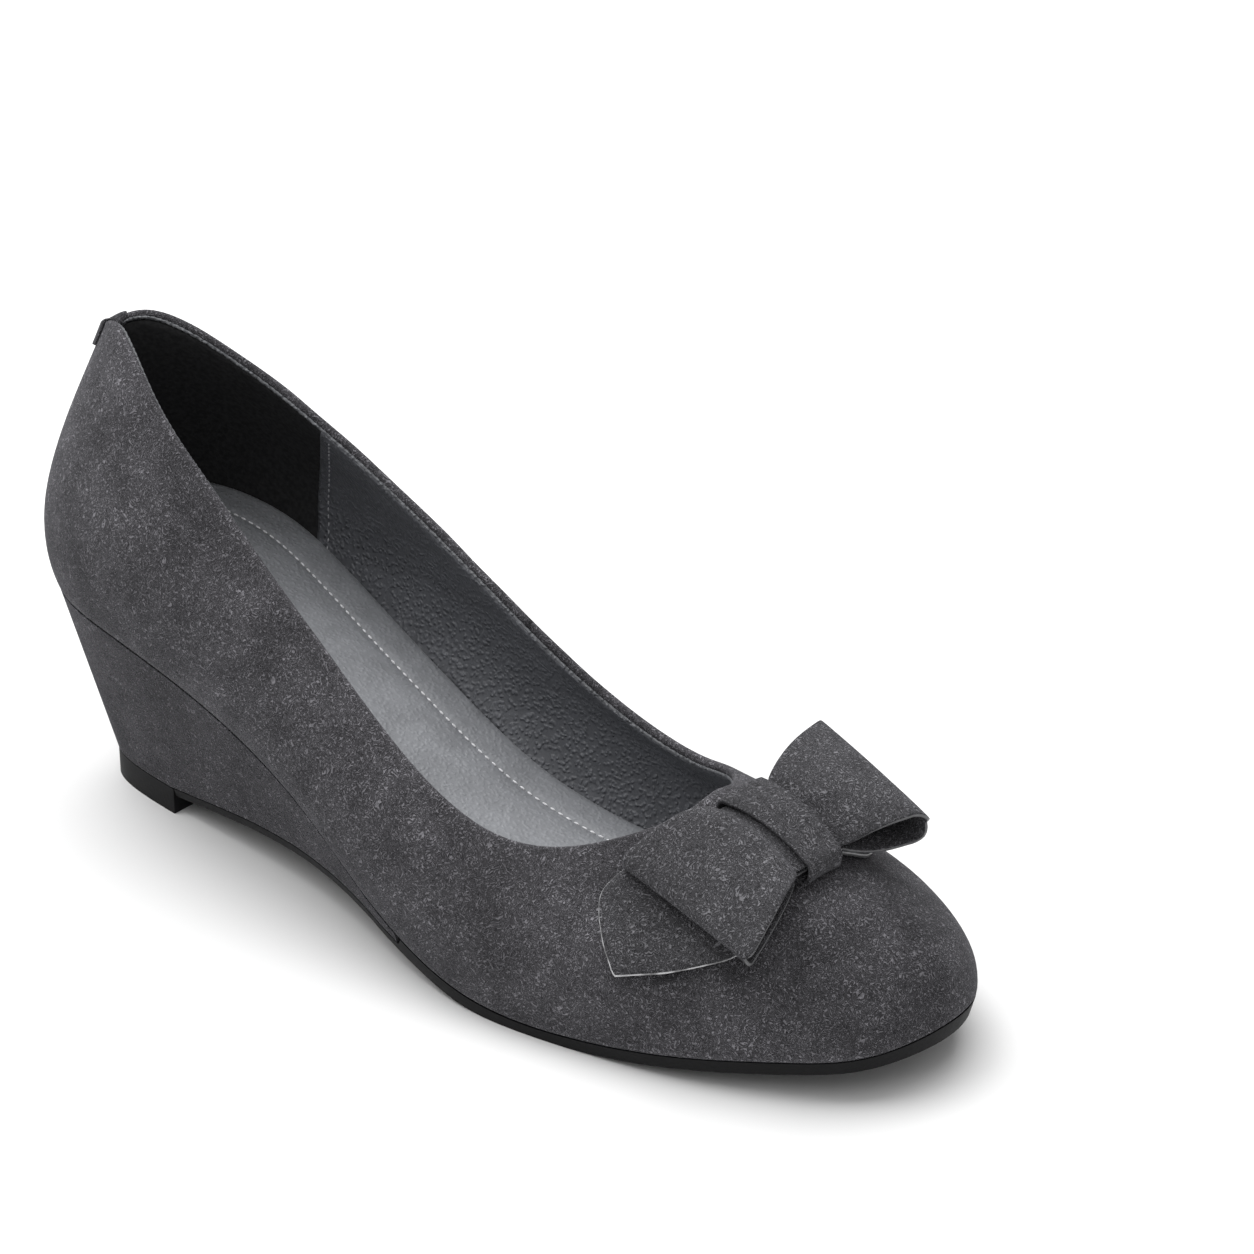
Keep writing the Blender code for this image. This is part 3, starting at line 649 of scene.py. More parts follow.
lining = inside_sheet(
    "leather_lining", grip_edge, lining_last, lining_depth, LINING_COLUMNS,
    np.linspace(LINING_TOP, SHEET_BOTTOM, 44),
)
for vertex in lining.data.vertices:
    row, column = divmod(vertex.index, LINING_COLUMNS)
    pucker = math.sin(column * 1.05 + 2.2 * math.sin(column * 0.31) + 0.5 * row) * PUCKER
    fade = max(1 - row / PUCKERED_ROWS, 0)
    vertex.co.y -= math.copysign(pucker * fade, vertex.co.y)
thicken(lining, LINING)
lining_leather = leather("grey_lining_leather", (0.120, 0.124, 0.136))
fit(lining, lining_leather, "insole_leather")

bead_rows = []
bead_index = np.linspace(0, STEPS, BEAD_COLUMNS, endpoint=False)
bead_phase = bead_index * 2.3 + 1.4 * np.sin(bead_index * 0.53)
for angle in np.linspace(0, 2 * math.pi, 13):
    radius = BEAD_RADIUS * (1 + BEAD_WAVES * np.sin(bead_phase * 2 + angle))
    place = pick(near_topline(BEAD_OUT, BEAD_UP), bead_index)
    side = pick(TOP_NORMAL, bead_index) * (radius * math.cos(angle))[:, None]
    rise = pick(TOP_UPWARD, bead_index) * (radius * math.sin(angle))[:, None]
    row = place + side + rise
    bead_rows.append(np.vstack([row, row[:1]]))
shape = bent_grid(bead_rows, weld=True)
bmesh.ops.recalc_face_normals(shape, faces=shape.faces)
bead = finish_mesh("lining_bead", shape)
bead_leather = leather("bead_leather", (0.095, 0.098, 0.106))
fit(bead, bead_leather, "insole_leather")


def along_path(where, runs, values):
    return Vector([np.interp(where, runs, values[:, axis]) for axis in range(3)])


def stitch_row(name, points, pitch, length, radius, rise, normals=None):
    """A row of short thread stitches along a path of points."""
    points = np.asarray(points)
    runs = np.concatenate([[0.0], np.cumsum(np.linalg.norm(np.diff(points, axis=0), axis=1))])
    shape = bmesh.new()
    for middle in np.arange(pitch / 2, runs[-1] - pitch / 2, pitch):
        start = along_path(middle - length / 2, runs, points)
        end = along_path(middle + length / 2, runs, points)
        along = end - start
        place = (start + end) / 2
        up = Vector((0, 0, 1)) if normals is None else along_path(middle, runs, normals)
        turn = along.to_track_quat("X", "Z").to_matrix().to_4x4()
        scale = Matrix.Diagonal((length / 2, radius, radius, 1.0))
        matrix = Matrix.Translation(place + up * rise) @ turn @ scale
        bmesh.ops.create_uvsphere(shape, u_segments=8, v_segments=6, radius=1.0, matrix=matrix)
    return finish_mesh(name, shape)


def thread(name, color):
    finish = Finish(name, 0.6, 0.35)
    twist = finish.noise(3200.0, 1.0)
    finish.tint(color, finish.remap(twist, 0.3, 0.7, 0.8, 1.15))
    finish.bump((twist, 0.0001, 0.5))
    return finish.material


grey_thread = thread("grey_thread", (0.40, 0.40, 0.42))
for side, edge, inset in (
    ("outer", grip_edge, LINING_STITCH_INSET), ("inner", lining_last, -LINING_STITCH_INSET)
):
    path = []
    facing = []
    for share in np.linspace(0.95, 0.10, 60):
        depth = lining_depth(share) + LINING / 2
        index = np.array([edge(share) + inset])
        path.append(pick(skin_ring(share) - skin_normals(share) * depth, index)[0])
        facing.append(-pick(skin_normals(share), index)[0])
    row = stitch_row(
        f"lining_stitches_{side}", path, LINING_PITCH, LINING_STITCH, LINING_THREAD,
        LINING_STITCH_RISE, np.array(facing),
    )
    fit(row, grey_thread, "insole_leather")


# Insole sock
# A padded sock of smooth grey leather over the insole board. A pale running stitch
# follows its edge 8.5 mm in, and quilts it into a border and a softer middle.

INSOLE_THICKNESS = 0.004
INSOLE_DISH = 0.0010
STITCH_INSET = 0.0085
SOCK_INSET = WALL + 0.0008
SOCK_SHEET = 0.0012
SOCK_COLUMNS = 141
SOCK_EDGE_DROP = 0.0005
SOCK_EDGE_RUN = 0.0010
GROOVE_DEPTH = 0.00055
GROOVE_RUN = 0.0011
MIDDLE_SWELL = 0.0005
MIDDLE_RUN = 0.006
PADDING_EASE = 0.006
SOCK_PITCH = 0.0021
SOCK_STITCH = 0.0014
SOCK_THREAD = 0.00024
SOCK_STITCH_RISE = 0.00012
STITCH_START = 140
PADDING = [
    # station, thickness as a share of the insole's
    (0.000, 2.75),
    (0.070, 2.70),
    (0.140, 2.20),
    (0.210, 1.40),
    (0.280, 0.86),
    (0.340, 0.62),
    (0.410, 0.58),
    (0.470, 0.90),
    (0.520, 1.28),
    (0.580, 1.45),
    (0.660, 1.35),
    (0.800, 1.10),
    (1.000, 1.00),
]


def eased_table(x, station, values, ease, count):
    """A table read at distances from the back, with its corners eased."""
    spread = np.linspace(-ease, ease, count)
    return np.mean([np.interp(x + shift, station, values) for shift in spread], axis=0)


def sock_ring(inset):
    """Edge of the sock's top, inside the lining, at its height above the feather line."""
    station, thickness = table_columns(PADDING, (LAST_LENGTH, INSOLE_THICKNESS))
    heights = eased_table(
        FEATHER_RING[:, 0] + ORIGIN_X, station, thickness, PADDING_EASE, 13
    )
    shares = np.linspace(0, 0.5, 60)
    stack = np.array([skin_ring(share) for share in shares])
    facing = np.array([skin_normals(share) for share in shares])
    level = np.linalg.norm(facing[:, :, :2], axis=2).clip(0.8)
    stack = stack - unit(flat(facing)) * (inset / level)[:, :, None]
    rises = stack[:, :, 2] - FEATHER_RING[:, 2]
    return np.array([
        [np.interp(heights[j], rises[:, j], stack[:, j, axis]) for axis in range(3)]
        for j in range(STEPS)
    ])


def halves(ring):
    """Outer and inner half of a ring, both from back to tip."""
    return ring[: HALF_STEPS + 1], np.vstack([ring[:1], ring[HALF_STEPS:][::-1]])


def edge_distance(points, ring):
    """Distance in plan from each point to the nearest point of a ring."""
    gaps = points[:, None, :2] - ring[None, :, :2]
    return np.sqrt((gaps**2).sum(axis=2)).min(axis=1)


def sock_height(points, ring):
    """Padding of the sock: a soft edge, a stitched groove and a fuller middle."""
    away = edge_distance(points, ring)
    edge = -SOCK_EDGE_DROP * np.exp(-((away / SOCK_EDGE_RUN) ** 2))
    groove = -GROOVE_DEPTH * np.exp(-(((away - STITCH_INSET) / GROOVE_RUN) ** 2))
    middle = MIDDLE_SWELL * np.clip((away - STITCH_INSET) / MIDDLE_RUN, 0, 1)
    return edge + groove + middle


def cross(outer, inner, shares):
    """Rows that run straight from the outer side to the inner one."""
    shares = shares[None, :, None]
    return outer[:, None, :] * (1 - shares) + inner[:, None, :] * shares


SOCK_RING = sock_ring(SOCK_INSET)
outer_edge, inner_edge = halves(SOCK_RING)
shares = (1 - np.cos(np.linspace(0, math.pi, SOCK_COLUMNS))) / 2
sock_rows = cross(outer_edge, inner_edge, shares)
width = np.clip(np.abs(outer_edge[:, 1] - inner_edge[:, 1]) / BALL_WIDTH, 0, 0.5) * 2
sock_rows[:, :, 2] -= INSOLE_DISH * width[:, None] * (1 - (2 * shares[None, :] - 1) ** 2)
for row in sock_rows:
    row[:, 2] += sock_height(row, SOCK_RING)
sock = loft("insole_sock", sock_rows)
thicken(sock, SOCK_SHEET, -1.0)
sock_leather = leather("grey_sock_leather", (0.220, 0.226, 0.240), 0.35)
fit(sock, sock_leather, "insole_leather", "insole")

stitch_ring = SOCK_RING - outward(SOCK_RING) * STITCH_INSET
sock_tree = BVHTree.FromObject(sock, bpy.context.evaluated_depsgraph_get())
stitch_path = []
for point in np.roll(stitch_ring, -STITCH_START, axis=0):
    place, _, _, _ = sock_tree.ray_cast(Vector((point[0], point[1], 0.2)), Vector((0, 0, -1)))
    if place is not None:
        stitch_path.append(np.array(place))
pale_thread = thread("pale_thread", (0.75, 0.75, 0.77))
sock_stitches = stitch_row(
    "sock_stitches", stitch_path, SOCK_PITCH, SOCK_STITCH, SOCK_THREAD, SOCK_STITCH_RISE
)
fit(sock_stitches, pale_thread, "insole_leather")


# Wedge cover
# A wedge core wrapped in the same suede, a little darker, and glued under the feather
# line. It draws in towards the floor and runs out to a thin edge ahead of the arch.

SOLE_THIN = 0.002
WEDGE_EDGE = 0.0008
WEDGE_FRONT = 0.124
WEDGE_ROUNDING = 0.0004
UNDERSIDE_EASE = 0.004
HARD_EDGE = math.radians(38)
UNDERSIDE = [
    # station, arch, spring
    (0.160, 0.68, 0.00),
    (0.235, 1.05, 0.00),
    (0.300, 1.34, 0.00),
    (0.365, 1.51, 0.00),
    (0.430, 1.52, 0.00),
    (0.470, 1.36, 0.00),
    (0.500, 1.00, 0.00),
    (0.530, 0.72, 0.00),
    (0.560, 0.42, 0.00),
    (0.590, 0.14, 0.00),
    (0.620, 0.00, 0.00),
    (0.723, 0.00, 0.00),
    (0.770, 0.00, 0.11),
    (0.828, 0.00, 0.30),
    (0.912, 0.00, 0.56),
    (0.971, 0.00, 0.74),
    (1.000, 0.00, 0.90),
]


def underside_height(x):
    """Height of the outsole's underside at a distance from the back."""
    station, arch, spring = table_columns(UNDERSIDE, (LAST_LENGTH, TOP_PIECE_HEIGHT, TOE_SPRING))
    return eased_table(x, station, arch + spring, UNDERSIDE_EASE, 9)


def draft_ring(heights):
    """The feather line brought down to given heights and drawn in on the way."""
    drop = (FEATHER_RING[:, 2] - heights)[:, None]
    ring = FEATHER_RING - FEATHER_OUT * drop * WEDGE_DRAFT
    ring[:, 2] = heights
    return ring


heights = underside_height(FEATHER_RING[:, 0] + ORIGIN_X)
for _ in range(3):
    heights = underside_height(draft_ring(heights)[:, 0] + ORIGIN_X)
LOWER_RING = draft_ring(heights)
TOP_PIECE_FRONT = TOP_PIECE_LENGTH / 2
wedge_heights = np.where(
    LOWER_RING[:, 0] < TOP_PIECE_FRONT, TOP_PIECE_HEIGHT + GAP, LOWER_RING[:, 2] + SOLE_THIN + GAP
)
wedge_heights = np.maximum(wedge_heights, TOP_PIECE_HEIGHT + GAP)
wedge_heights = np.minimum(wedge_heights, FEATHER_RING[:, 2] - GAP - WEDGE_EDGE)
WEDGE_LOWER_RING = draft_ring(wedge_heights)


def position_at(half, x):
    """Fractional index at which half a ring passes a place along the shoe."""
    return float(np.interp(x, half[:, 0], np.arange(len(half))))


def sample(half, index):
    steps = np.arange(len(half))
    return np.stack([np.interp(index, steps, half[:, axis]) for axis in range(3)], axis=1)


def closed_bar(name, sections):
    """A closed bar from sections that are loops of places, capped at both ends."""
    shape = bent_grid(np.concatenate([sections, sections[:, :1]], axis=1), weld=True)
    rims = [edge for edge in shape.edges if edge.is_boundary]
    bmesh.ops.holes_fill(shape, edges=rims, sides=0)
    bmesh.ops.recalc_face_normals(shape, faces=shape.faces)
    return finish_mesh(name, shape)


def round_edges(piece, width):
    bevel = piece.modifiers.new("rounded_edges", "BEVEL")
    bevel.width = width
    bevel.segments = 3
    bevel.limit_method = "ANGLE"
    bevel.angle_limit = HARD_EDGE


levels = []
for share in np.linspace(0, 1, 12):
    sides = []
    for top, low in zip(halves(FEATHER_RING - np.array([0, 0, GAP])), halves(WEDGE_LOWER_RING)):
        index = np.linspace(0, position_at(top, WEDGE_FRONT - ORIGIN_X), 110)
        sides.append(sample(top, index) * (1 - share) + sample(low, index) * share)
    levels.append(sides)
nine_across = np.linspace(0, 1, 9)
wedge_sections = np.concatenate([
    cross(*levels[0], nine_across),
    np.stack([sides[1] for sides in levels[1:-1]], axis=1),
    cross(*levels[-1], nine_across)[:, ::-1],
    np.stack([sides[0] for sides in levels[1:-1]], axis=1)[:, ::-1],
], axis=1)
wedge = closed_bar("wedge_cover", wedge_sections)
round_edges(wedge, WEDGE_ROUNDING)
wedge_suede = suede("wedge_suede", (0.058, 0.056, 0.061), 0.9)
fit(wedge, wedge_suede, "wedge_suede", "wedge")


# Heel top piece
# A D-shaped block of black rubber under the back of the wedge, moulded with slightly
# rounded edges and a fine matte texture.

TOP_PIECE_ROUNDING = 0.0004


def rubber(name, color):
    finish = Finish(name, 0.6, 0.18)
    grit = finish.noise(1500.0, 3.0)
    wear = finish.noise(90.0, 3.0)
    finish.tint(color, finish.vary(wear, 0.15), finish.vary(grit, 0.1))
    finish.bump((grit, 0.00015, 0.35))
    return finish.material


black_rubber = rubber("black_rubber", (0.004, 0.004, 0.0045))
sides = []
for half in halves(draft_ring(np.full(STEPS, TOP_PIECE_HEIGHT))):
    sides.append(sample(half, np.linspace(0, position_at(half, TOP_PIECE_FRONT), 60)))
upper_face = cross(*sides, np.linspace(0, 1, 5))
tread = upper_face[:, ::-1].copy()
tread[:, :, 2] = 0.0
top_piece = closed_bar("heel_top_piece_rubber", np.concatenate([upper_face, tread], axis=1))
round_edges(top_piece, TOP_PIECE_ROUNDING)
fit(top_piece, black_rubber, "top_piece_rubber", "heel_top_piece")


# Outsole
# A sheet of black rubber, 3 mm under the ball and 2 mm along the arch, with toe spring.
# It butts against the top piece and follows the wedge and the lasted upper.

SOLE_STEP = 0.0015
SOLE_ROUNDING = 0.00045

tops = []
bottoms = []
step_up = WEDGE_FRONT + GAP - ORIGIN_X
sole_halves = zip(halves(LOWER_RING), halves(WEDGE_LOWER_RING), halves(FEATHER_RING))
for lower, wedge_half, feather in sole_halves:
    first = np.linspace(
        position_at(lower, TOP_PIECE_FRONT + GAP), position_at(feather, step_up), 70
    )
    last = np.linspace(position_at(feather, step_up + SOLE_STEP), HALF_STEPS, 110)
    index = np.concatenate([first, last])
    bottom = sample(lower, index)
    under_wedge = sample(wedge_half, index)[:, 2] - GAP
    under_feather = sample(feather, index)[:, 2] - GAP
    top_height = np.where(np.arange(len(index)) < len(first), under_wedge, under_feather)
    share = (top_height - bottom[:, 2]) / (under_feather + GAP - bottom[:, 2])
    top = bottom + (sample(feather, index) - bottom) * share[:, None]
    top[:, 2] = top_height
    top[0, 0] = TOP_PIECE_FRONT + GAP
    bottom[0, 0] = TOP_PIECE_FRONT + GAP
    tops.append(top)
    bottoms.append(bottom)
across = np.linspace(0, 1, 13)
sole_sections = np.concatenate([cross(*tops, across), cross(*bottoms, across)[:, ::-1]], axis=1)
outsole = closed_bar("rubber_outsole", sole_sections)
round_edges(outsole, SOLE_ROUNDING)
fit(outsole, black_rubber, "sole_rubber", "outsole")


# Back tab
# A short strip of suede folded over the topline at the back and glued down, with its
# long edges skived thin. It spans the collar's narrow inside in a shallow arc.

TAB_THICKNESS = 0.0008
TAB_WIDTH = 0.012
TAB_LEG = 0.0065
TAB_INNER_LEG = 0.0022
TAB_BRIDGE = 0.4
TAB_LIFT = 0.0001
TAB_FOLD = 0.98
TAB_COLUMNS = 33


def bridged(row, ease):
    """The row eased towards a shallow arc, as the strip spans the collar's narrow inside."""
    share = np.linspace(0, 1, len(row))[:, None]
    chord = row[0] * (1 - share) + row[-1] * share
    bow = TAB_BRIDGE * np.linalg.norm(row[-1] - row[0]) / 2
    arc = chord - np.array([bow, 0.0, 0.0]) * (1 - (2 * share - 1) ** 2)
    return row * (1 - ease) + arc * ease


lengths = np.linalg.norm(np.roll(RINGS[3], -1, axis=0) - RINGS[3], axis=1)
reach = float(np.interp(TAB_WIDTH / 2, np.cumsum(lengths), np.arange(STEPS)))
tab_index = np.linspace(-reach, reach, TAB_COLUMNS)
skived = 0.3 + 0.7 * np.sqrt(1 - np.linspace(-1, 1, TAB_COLUMNS) ** 4)


def tab_row(share, out):
    return pick(skin_ring(share), tab_index) + pick(skin_normals(share), tab_index) * out


def tab_face(height):
    """Rows across the tab at a height above the collar, from outside over to inside."""
    above = TAB_LIFT + height * skived[:, None]
    rows = []
    for share in np.linspace(1 - TAB_LEG / COLLAR_DEPTH, TAB_FOLD, 12):
        rows.append(tab_row(share, above))
    normal = pick(TOP_NORMAL, tab_index)
    upward = pick(TOP_UPWARD, tab_index)
    middle = pick(near_topline(-WALL / 2, -WALL / 2), tab_index)
    turn = WALL / 2 + above
    for degrees in np.linspace(10, 160, 14):
        angle = math.radians(degrees)
        row = middle + normal * turn * math.cos(angle) + upward * turn * math.sin(angle)
        rows.append(bridged(row, min(max((degrees - 95) / 95, 0), 1)))
    for share in np.linspace(TAB_FOLD, 1 - TAB_INNER_LEG / COLLAR_DEPTH, 3):
        rows.append(bridged(tab_row(share, -WALL - above), 1.0))
    return np.array(rows)


tab_sections = np.concatenate([tab_face(TAB_THICKNESS), tab_face(0.0)[:, ::-1]], axis=1)
tab = closed_bar("back_tab_suede", tab_sections)
fit(tab, suede("tab_suede", (0.066, 0.065, 0.070)), "tab_suede", "back_tab")


# Bow tails
# One flat suede ribbon under the loops. Its ends are cut to soft points, and the outer
# one shows beyond the loop with a pale bead along its cut edge, a painted highlight.

RIBBON = 0.0010
BOW_STATION = 0.826
BOW_OFFSET = -0.002
BOW_TURN = math.radians(11)
BOW_SKEW = 0.054
KNOT_WIDTH = 0.148 * BALL_WIDTH
KNOT_TAPER = 0.23
KNOT_CROWN = 0.0008
GATHER_WIDTH = 0.285 * BALL_WIDTH
GATHER_CROWN = 0.0023
TAIL_REACH = 0.471 * BALL_WIDTH
TAIL_EASE = 0.008
TAIL_SHEET = 0.9 * RIBBON
TAIL_CURL = 0.006
TAIL_CURL_START = 0.55
TAIL_COLUMNS = 33
HIGHLIGHT_STRIP_THICKNESS = 0.00022
HIGHLIGHT_STRIP_LEVEL = 0.22 * RIBBON
EDGE_PROUD = 0.00012
NORMAL_REACH = 0.002
TAIL_OUTLINE = [
    # side, back edge, front edge
    (-1.016, -0.232, -0.206),
    (-0.998, -0.310, -0.172),
    (-0.960, -0.402, -0.104),
    (-0.880, -0.515, 0.028),
    (-0.760, -0.535, 0.182),
    (-0.600, -0.480, 0.330),
    (-0.420, -0.420, 0.360),
    (-0.270, -0.330, 0.300),
    (-0.170, -0.262, 0.262),
    (-0.085, -0.256, 0.256),
    (0.000, -0.255, 0.255),
    (0.085, -0.256, 0.256),
    (0.170, -0.265, 0.262),
    (0.250, -0.370, 0.280),
    (0.360, -0.410, 0.290),
    (0.500, -0.390, 0.230),
    (0.600, -0.300, 0.120),
    (0.660, -0.160, -0.020),
]

vamp_tree = BVHTree.FromObject(upper, bpy.context.evaluated_depsgraph_get())


def vamp_point(x, y, height):
    """Point above the vamp at a plan position, measured along the vamp's normal."""
    place, normal, _, _ = vamp_tree.ray_cast(Vector((x, y, 1.0)), Vector((0.0, 0.0, -1.0)))
    if place is None:
        beside, normal, _, _ = vamp_tree.find_nearest(Vector((x, y, RINGS[3][HALF_STEPS, 2])))
        place = Vector((x, y, beside.z))
    if normal.z < 0:
        normal = -normal
    return np.array(place + normal * height)


def bow_frame():
    """Foot of the bow on the vamp, and its directions ahead, to the side and up."""
    x = BOW_STATION * LAST_LENGTH - ORIGIN_X
    foot = vamp_point(x, BOW_OFFSET, 0.0)
    steps = (-NORMAL_REACH, 0.0, NORMAL_REACH)
    up = unit(sum(
        vamp_point(x + dx, BOW_OFFSET + dy, 0.001) - vamp_point(x + dx, BOW_OFFSET + dy, 0.0)
        for dx in steps for dy in steps
    ))
    turned = np.array([math.cos(BOW_TURN), -math.sin(BOW_TURN), 0.0])
    front = unit(turned - up * np.dot(turned, up))
    return foot, front, np.cross(up, front), up


BOW_FOOT, BOW_FRONT, BOW_SIDE, BOW_UP = bow_frame()


def bow_point(front, side, up):
    return BOW_FOOT + BOW_FRONT * front + BOW_SIDE * side + BOW_UP * up


def on_vamp(front, side, height):
    place = BOW_FOOT + BOW_FRONT * front + BOW_SIDE * side
    return vamp_point(place[0], place[1], height)


def vamp_drop(front):
    """How far the vamp lies below the bow's own plane at a place ahead of its foot."""
    return float(np.dot(on_vamp(front, 0.0, 0.0) - BOW_FOOT, BOW_UP))


def layer(number):
    """Height of the middle of a ribbon layer above the vamp, counted from the lowest."""
    return GAP + RIBBON / 2 + number * (RIBBON + GAP)


def soften(values, where, knots):
    """A table column read through a smooth curve."""
    slopes = np.gradient(values, knots)
    index = np.clip(np.searchsorted(knots, where, side="right") - 1, 0, len(knots) - 2)
    span = knots[index + 1] - knots[index]
    t = (where - knots[index]) / span
    return (
        values[index] * (2 * t**3 - 3 * t**2 + 1) + values[index + 1] * (3 * t**2 - 2 * t**3)
        + slopes[index] * span * (t**3 - 2 * t**2 + t) + slopes[index + 1] * span * (t**3 - t**2)
    )


tail_side, tail_back, tail_front = table_columns(TAIL_OUTLINE, (1, 1, 1))
along_tail = np.concatenate([np.linspace(-1.016, -0.88, 16), np.linspace(-0.865, 0.66, 86)])
backs = soften(tail_back, along_tail, tail_side)
fronts = soften(tail_front, along_tail, tail_side)


def tail_rows(raise_by, proud=0.0):
    """Rows of places over the vamp, lifted under the knot and curling at the points."""
    rows = []
    grow = proud / TAIL_REACH
    for side, back, front in zip(along_tail * (1 + grow), backs - grow, fronts + grow):
        beyond_knot = abs(side) * TAIL_REACH - KNOT_WIDTH / 2 - RIBBON
        lifted = 1.0 - min(max(beyond_knot / TAIL_EASE, 0), 1)
        curl = TAIL_CURL * max(abs(side) - TAIL_CURL_START, 0) ** 2
        height = layer(lifted) + raise_by + curl
        rows.append([
            on_vamp(along * TAIL_REACH, side * TAIL_REACH, height)
            for along in np.linspace(back, front, TAIL_COLUMNS)
        ])
    return rows


def cut_edge(name, color):
    """The shaved and inked edge of a suede strip: smooth, with a soft shine."""
    finish = Finish(name, 0.42, 0.5)
    finish.tint(color, finish.vary(finish.noise(900.0, 2.0), 0.15))
    finish.bump((finish.noise(1500.0, 1.0), 0.0001, 0.3))
    return finish.material


bow_suede = suede("bow_suede", (0.072, 0.071, 0.076), 0.6)
# The cut edges of the loops and tails are coloured lighter than the suede face, a painted
# highlight along their rims.
bow_edge = cut_edge("bow_edge", (0.105, 0.105, 0.110))
tails = loft("bow_tail_suede", tail_rows(0.0), weld=False)
thicken(tails, TAIL_SHEET).material_offset_rim = 1
fit(tails, bow_suede, "tail_suede", "bow_tails")
tails.data.materials.append(bow_edge)
# The pale strip under the tails' top face, standing just proud of their cut edge, is a painted
# highlight along that edge.
edge_highlight_finish = Finish("painted_edge_highlight", 0.35, 0.5)
edge_highlight_finish.tint((0.42, 0.42, 0.43), edge_highlight_finish.remap(
    edge_highlight_finish.noise(260.0, 2.0), 0.35, 0.65, 0.35, 1.25
))
edge_highlight_finish.bump((edge_highlight_finish.noise(1800.0, 2.0), 0.0001, 0.4))
highlight_strip = loft("bow_tail_highlight_strip", tail_rows(HIGHLIGHT_STRIP_LEVEL, EDGE_PROUD), weld=False)
thicken(highlight_strip, HIGHLIGHT_STRIP_THICKNESS)
fit(highlight_strip, edge_highlight_finish.material, "tail_suede", "bow_tails")


# Bow loops
# A wide suede ribbon folded back on itself into two loops, gathered at the middle so
# that its edges flare out to the folds.

PLEAT = 0.00025
PLEAT_REACH = 0.3
CORNER = 0.0013
LOOP_THICKNESS = 0.0007
LOOP_COLUMNS = 41
FOLD_ANGLES = np.radians(np.linspace(78, -78, 13))
OUTER_WING = [
    # place, reach, fold, swell, sag as shares of the ball width, droop in degrees
    (-0.226, 0.359, 0.025, 0.050, 0.000, 22.6),
    (0.282, 0.359, 0.024, 0.041, 0.000, 9.4),
]
INNER_WING = [
    (-0.249, 0.379, 0.027, 0.030, 0.000, 8.8),
    (0.250, 0.305, 0.055, 0.018, 0.012, -0.5),
]

drop_places = np.linspace(-0.27, 0.30, 49) * BALL_WIDTH
drop_table = [vamp_drop(front) for front in drop_places]


def drop_at(front):
    return float(np.interp(front, drop_places, drop_table))


def wing_edge(place, reach, fold, swell, sag, droop):
    """One edge of a wing, from its upper root round the fold to its lower root.

    Each point is its place ahead, side, height, crown and share of skew."""
    root = KNOT_WIDTH / 2 + RIBBON
    run = reach - fold - root
    upper_level, lower_level = layer(3), layer(2)
    path = [(root * share, upper_level) for share in (0.25, 0.5, 0.75, 1.0)]
    for share in np.linspace(0.05, 1.0, 20):
        level = upper_level + (lower_level + 2 * fold - upper_level) * share
        path.append((root + run * share, level + swell * math.sin(math.pi * share**0.8)))
    on_top = len(path)
    for angle in FOLD_ANGLES:
        side = root + run + fold * math.cos(angle)
        path.append((side, lower_level + fold + fold * math.sin(angle)))
    for share in np.linspace(1.0, 0.0, 18):
        path.append((root + run * share, lower_level - sag * math.sin(math.pi * share)))
    path += [(root * share, lower_level) for share in (0.75, 0.5, 0.25)]
    gather = math.copysign(GATHER_WIDTH / 2, place)
    points = []
    for number, (side, up) in enumerate(path):
        out = min(max(side - root, 0) / (reach - root), 1)
        front = gather + (place - gather) * out**0.75
        past = min(max(side - reach + CORNER, 0) / CORNER, 1)
        front -= math.copysign(CORNER * (1 - math.sqrt(1 - past**2)), place)
        crown = GATHER_CROWN * (1 - out) if number < on_top else 0.0
        points.append((front, side, up - max(side - root, 0) * math.tan(droop), crown, 1 - out))
    return np.array(points)


def wing_rows(edges, direction):
    """Rows of places across one wing, ruled between its rear and its front edge."""
    scales = np.array([BALL_WIDTH] * 5 + [math.radians(1)])
    rear, ahead = (wing_edge(*(np.array(edge) * scales)) for edge in edges)
    rows = []
    for rear_point, front_point in zip(rear, ahead):
        row = []
        for share in np.linspace(0, 1, LOOP_COLUMNS):
            front, side, up, crown, skewed = rear_point * (1 - share) + front_point * share
            across = 2 * share - 1
            up += crown * (1 - across**2) + drop_at(front)
            if 0 < skewed < 1 and crown > 0:
                fading = math.exp(-(((1 - skewed) / PLEAT_REACH) ** 2))
                up += PLEAT * math.cos(across * 3 * math.pi) * fading
            row.append(bow_point(front, direction * side + BOW_SKEW * front * skewed, up))
        rows.append(row)
    return rows


def middle_row(height, crown):
    """Row of places across the gathered middle of the loops."""
    row = []
    for across in np.linspace(-1, 1, LOOP_COLUMNS):
        front = across * GATHER_WIDTH / 2
        up = height + crown * (1 - across**2) + drop_at(front)
        row.append(bow_point(front, BOW_SKEW * front, up))
    return row


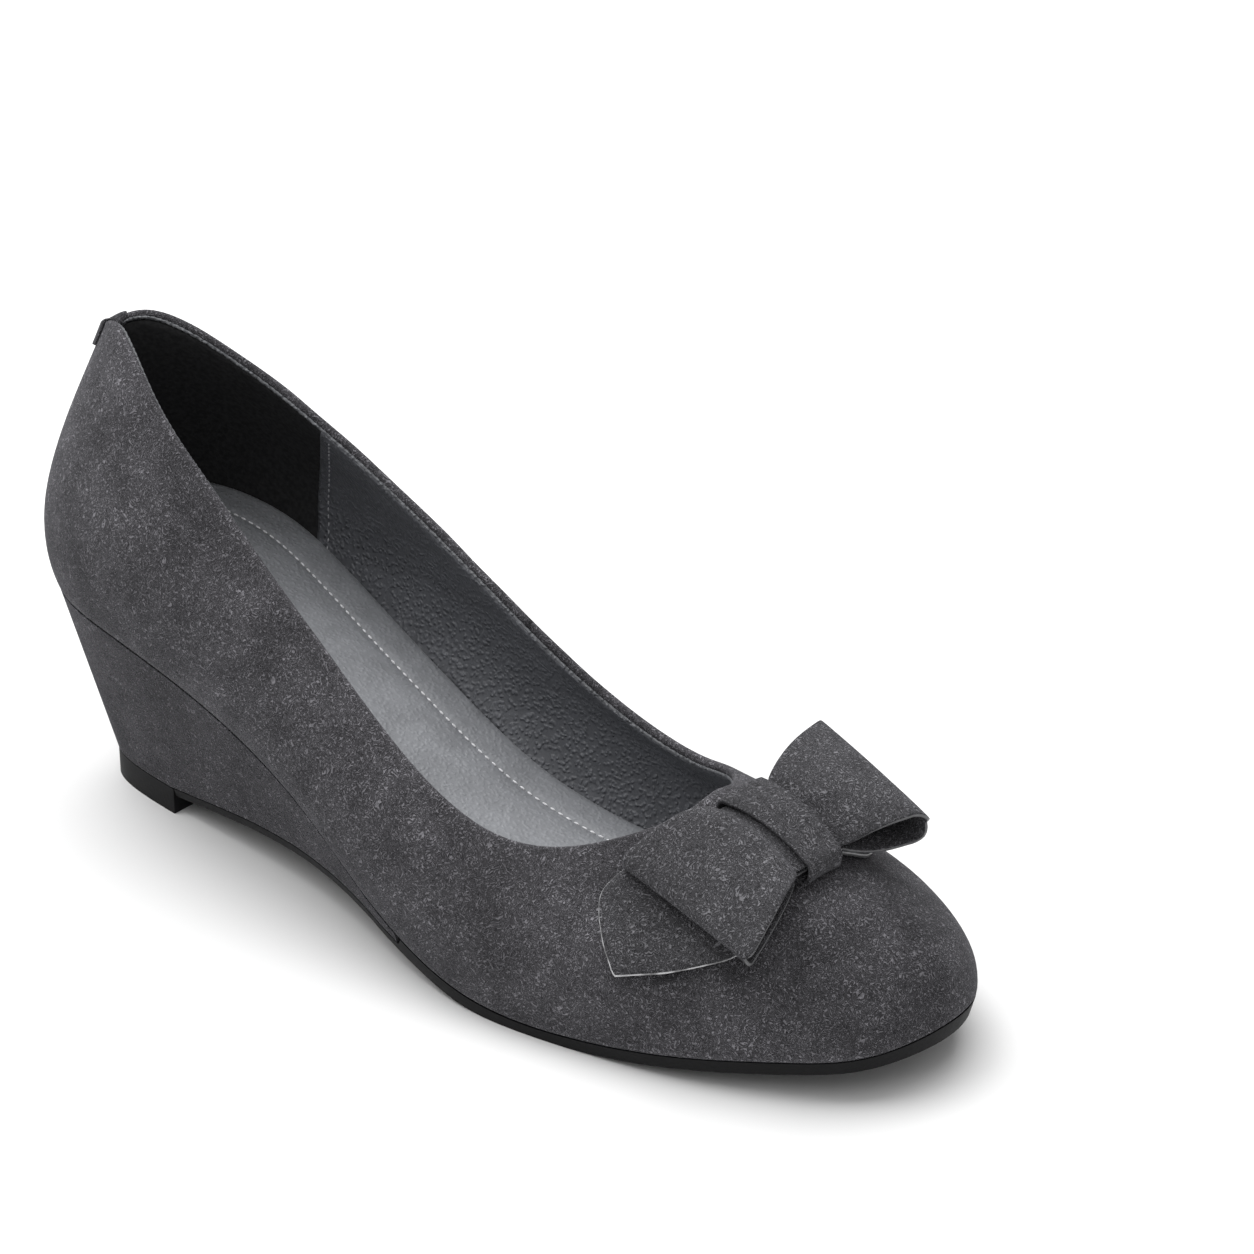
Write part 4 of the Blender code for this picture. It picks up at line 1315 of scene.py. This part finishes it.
loop_rows = [middle_row(layer(3), GATHER_CROWN)]
loop_rows += wing_rows(OUTER_WING, -1)
loop_rows.append(middle_row(layer(2), 0.0))
loop_rows += wing_rows(INNER_WING, 1)[::-1]
loop_rows.append(loop_rows[0])
loops = loft("bow_loop_suede", loop_rows)
thicken(loops, LOOP_THICKNESS).material_offset_rim = 1
fit(loops, bow_suede, "loop_suede", "bow_loops")
loops.data.materials.append(bow_edge)


# Bow knot
# A narrow suede band wrapped round the gathered middle of the bow, with two faint
# creases along it.

KNOT_SHEET = 0.8 * RIBBON
KNOT_BULGE = 0.35
KNOT_COLUMNS = 33
CREASE_PLACES = (-0.30, 0.34)
CREASE_WIDTH = 0.09
CREASE_DEPTH = 0.0003

half = GATHER_WIDTH / 2 + GAP + RIBBON / 2
low, high = layer(0), layer(4)
middle = (low + high) / 2
bend = (high - low) / 2
bulge = KNOT_BULGE * bend
knot_path = [(front, high) for front in np.linspace(-half, half, 21)]
for angle in FOLD_ANGLES:
    knot_path.append((half + bulge * math.cos(angle), middle + bend * math.sin(angle)))
knot_path += [(front, low) for front in np.linspace(half, -half, 21)]
for angle in -FOLD_ANGLES:
    knot_path.append((-half - bulge * math.cos(angle), middle + bend * math.sin(angle)))
knot_path.append(knot_path[0])
knot_rows = []
for front, up in knot_path:
    row = []
    width = KNOT_WIDTH * (1 - KNOT_TAPER * (front + half) / (2 * half))
    for share in np.linspace(-1, 1, KNOT_COLUMNS):
        side = share * width / 2 + BOW_SKEW * front
        if up > low + 1e-6:
            creases = sum(
                math.exp(-(((share - place) / CREASE_WIDTH) ** 2)) for place in CREASE_PLACES
            )
            crown = KNOT_CROWN * (1 - share**2) - CREASE_DEPTH * creases
            crown += GATHER_CROWN * max(1 - (front / half) ** 2, 0)
            row.append(bow_point(front, side, up + crown + vamp_drop(front)))
        else:
            row.append(on_vamp(front, side, low))
    knot_rows.append(row)
knot = loft("bow_knot_suede", knot_rows)
thicken(knot, KNOT_SHEET)
fit(knot, bow_suede, "knot_suede", "bow_knot")
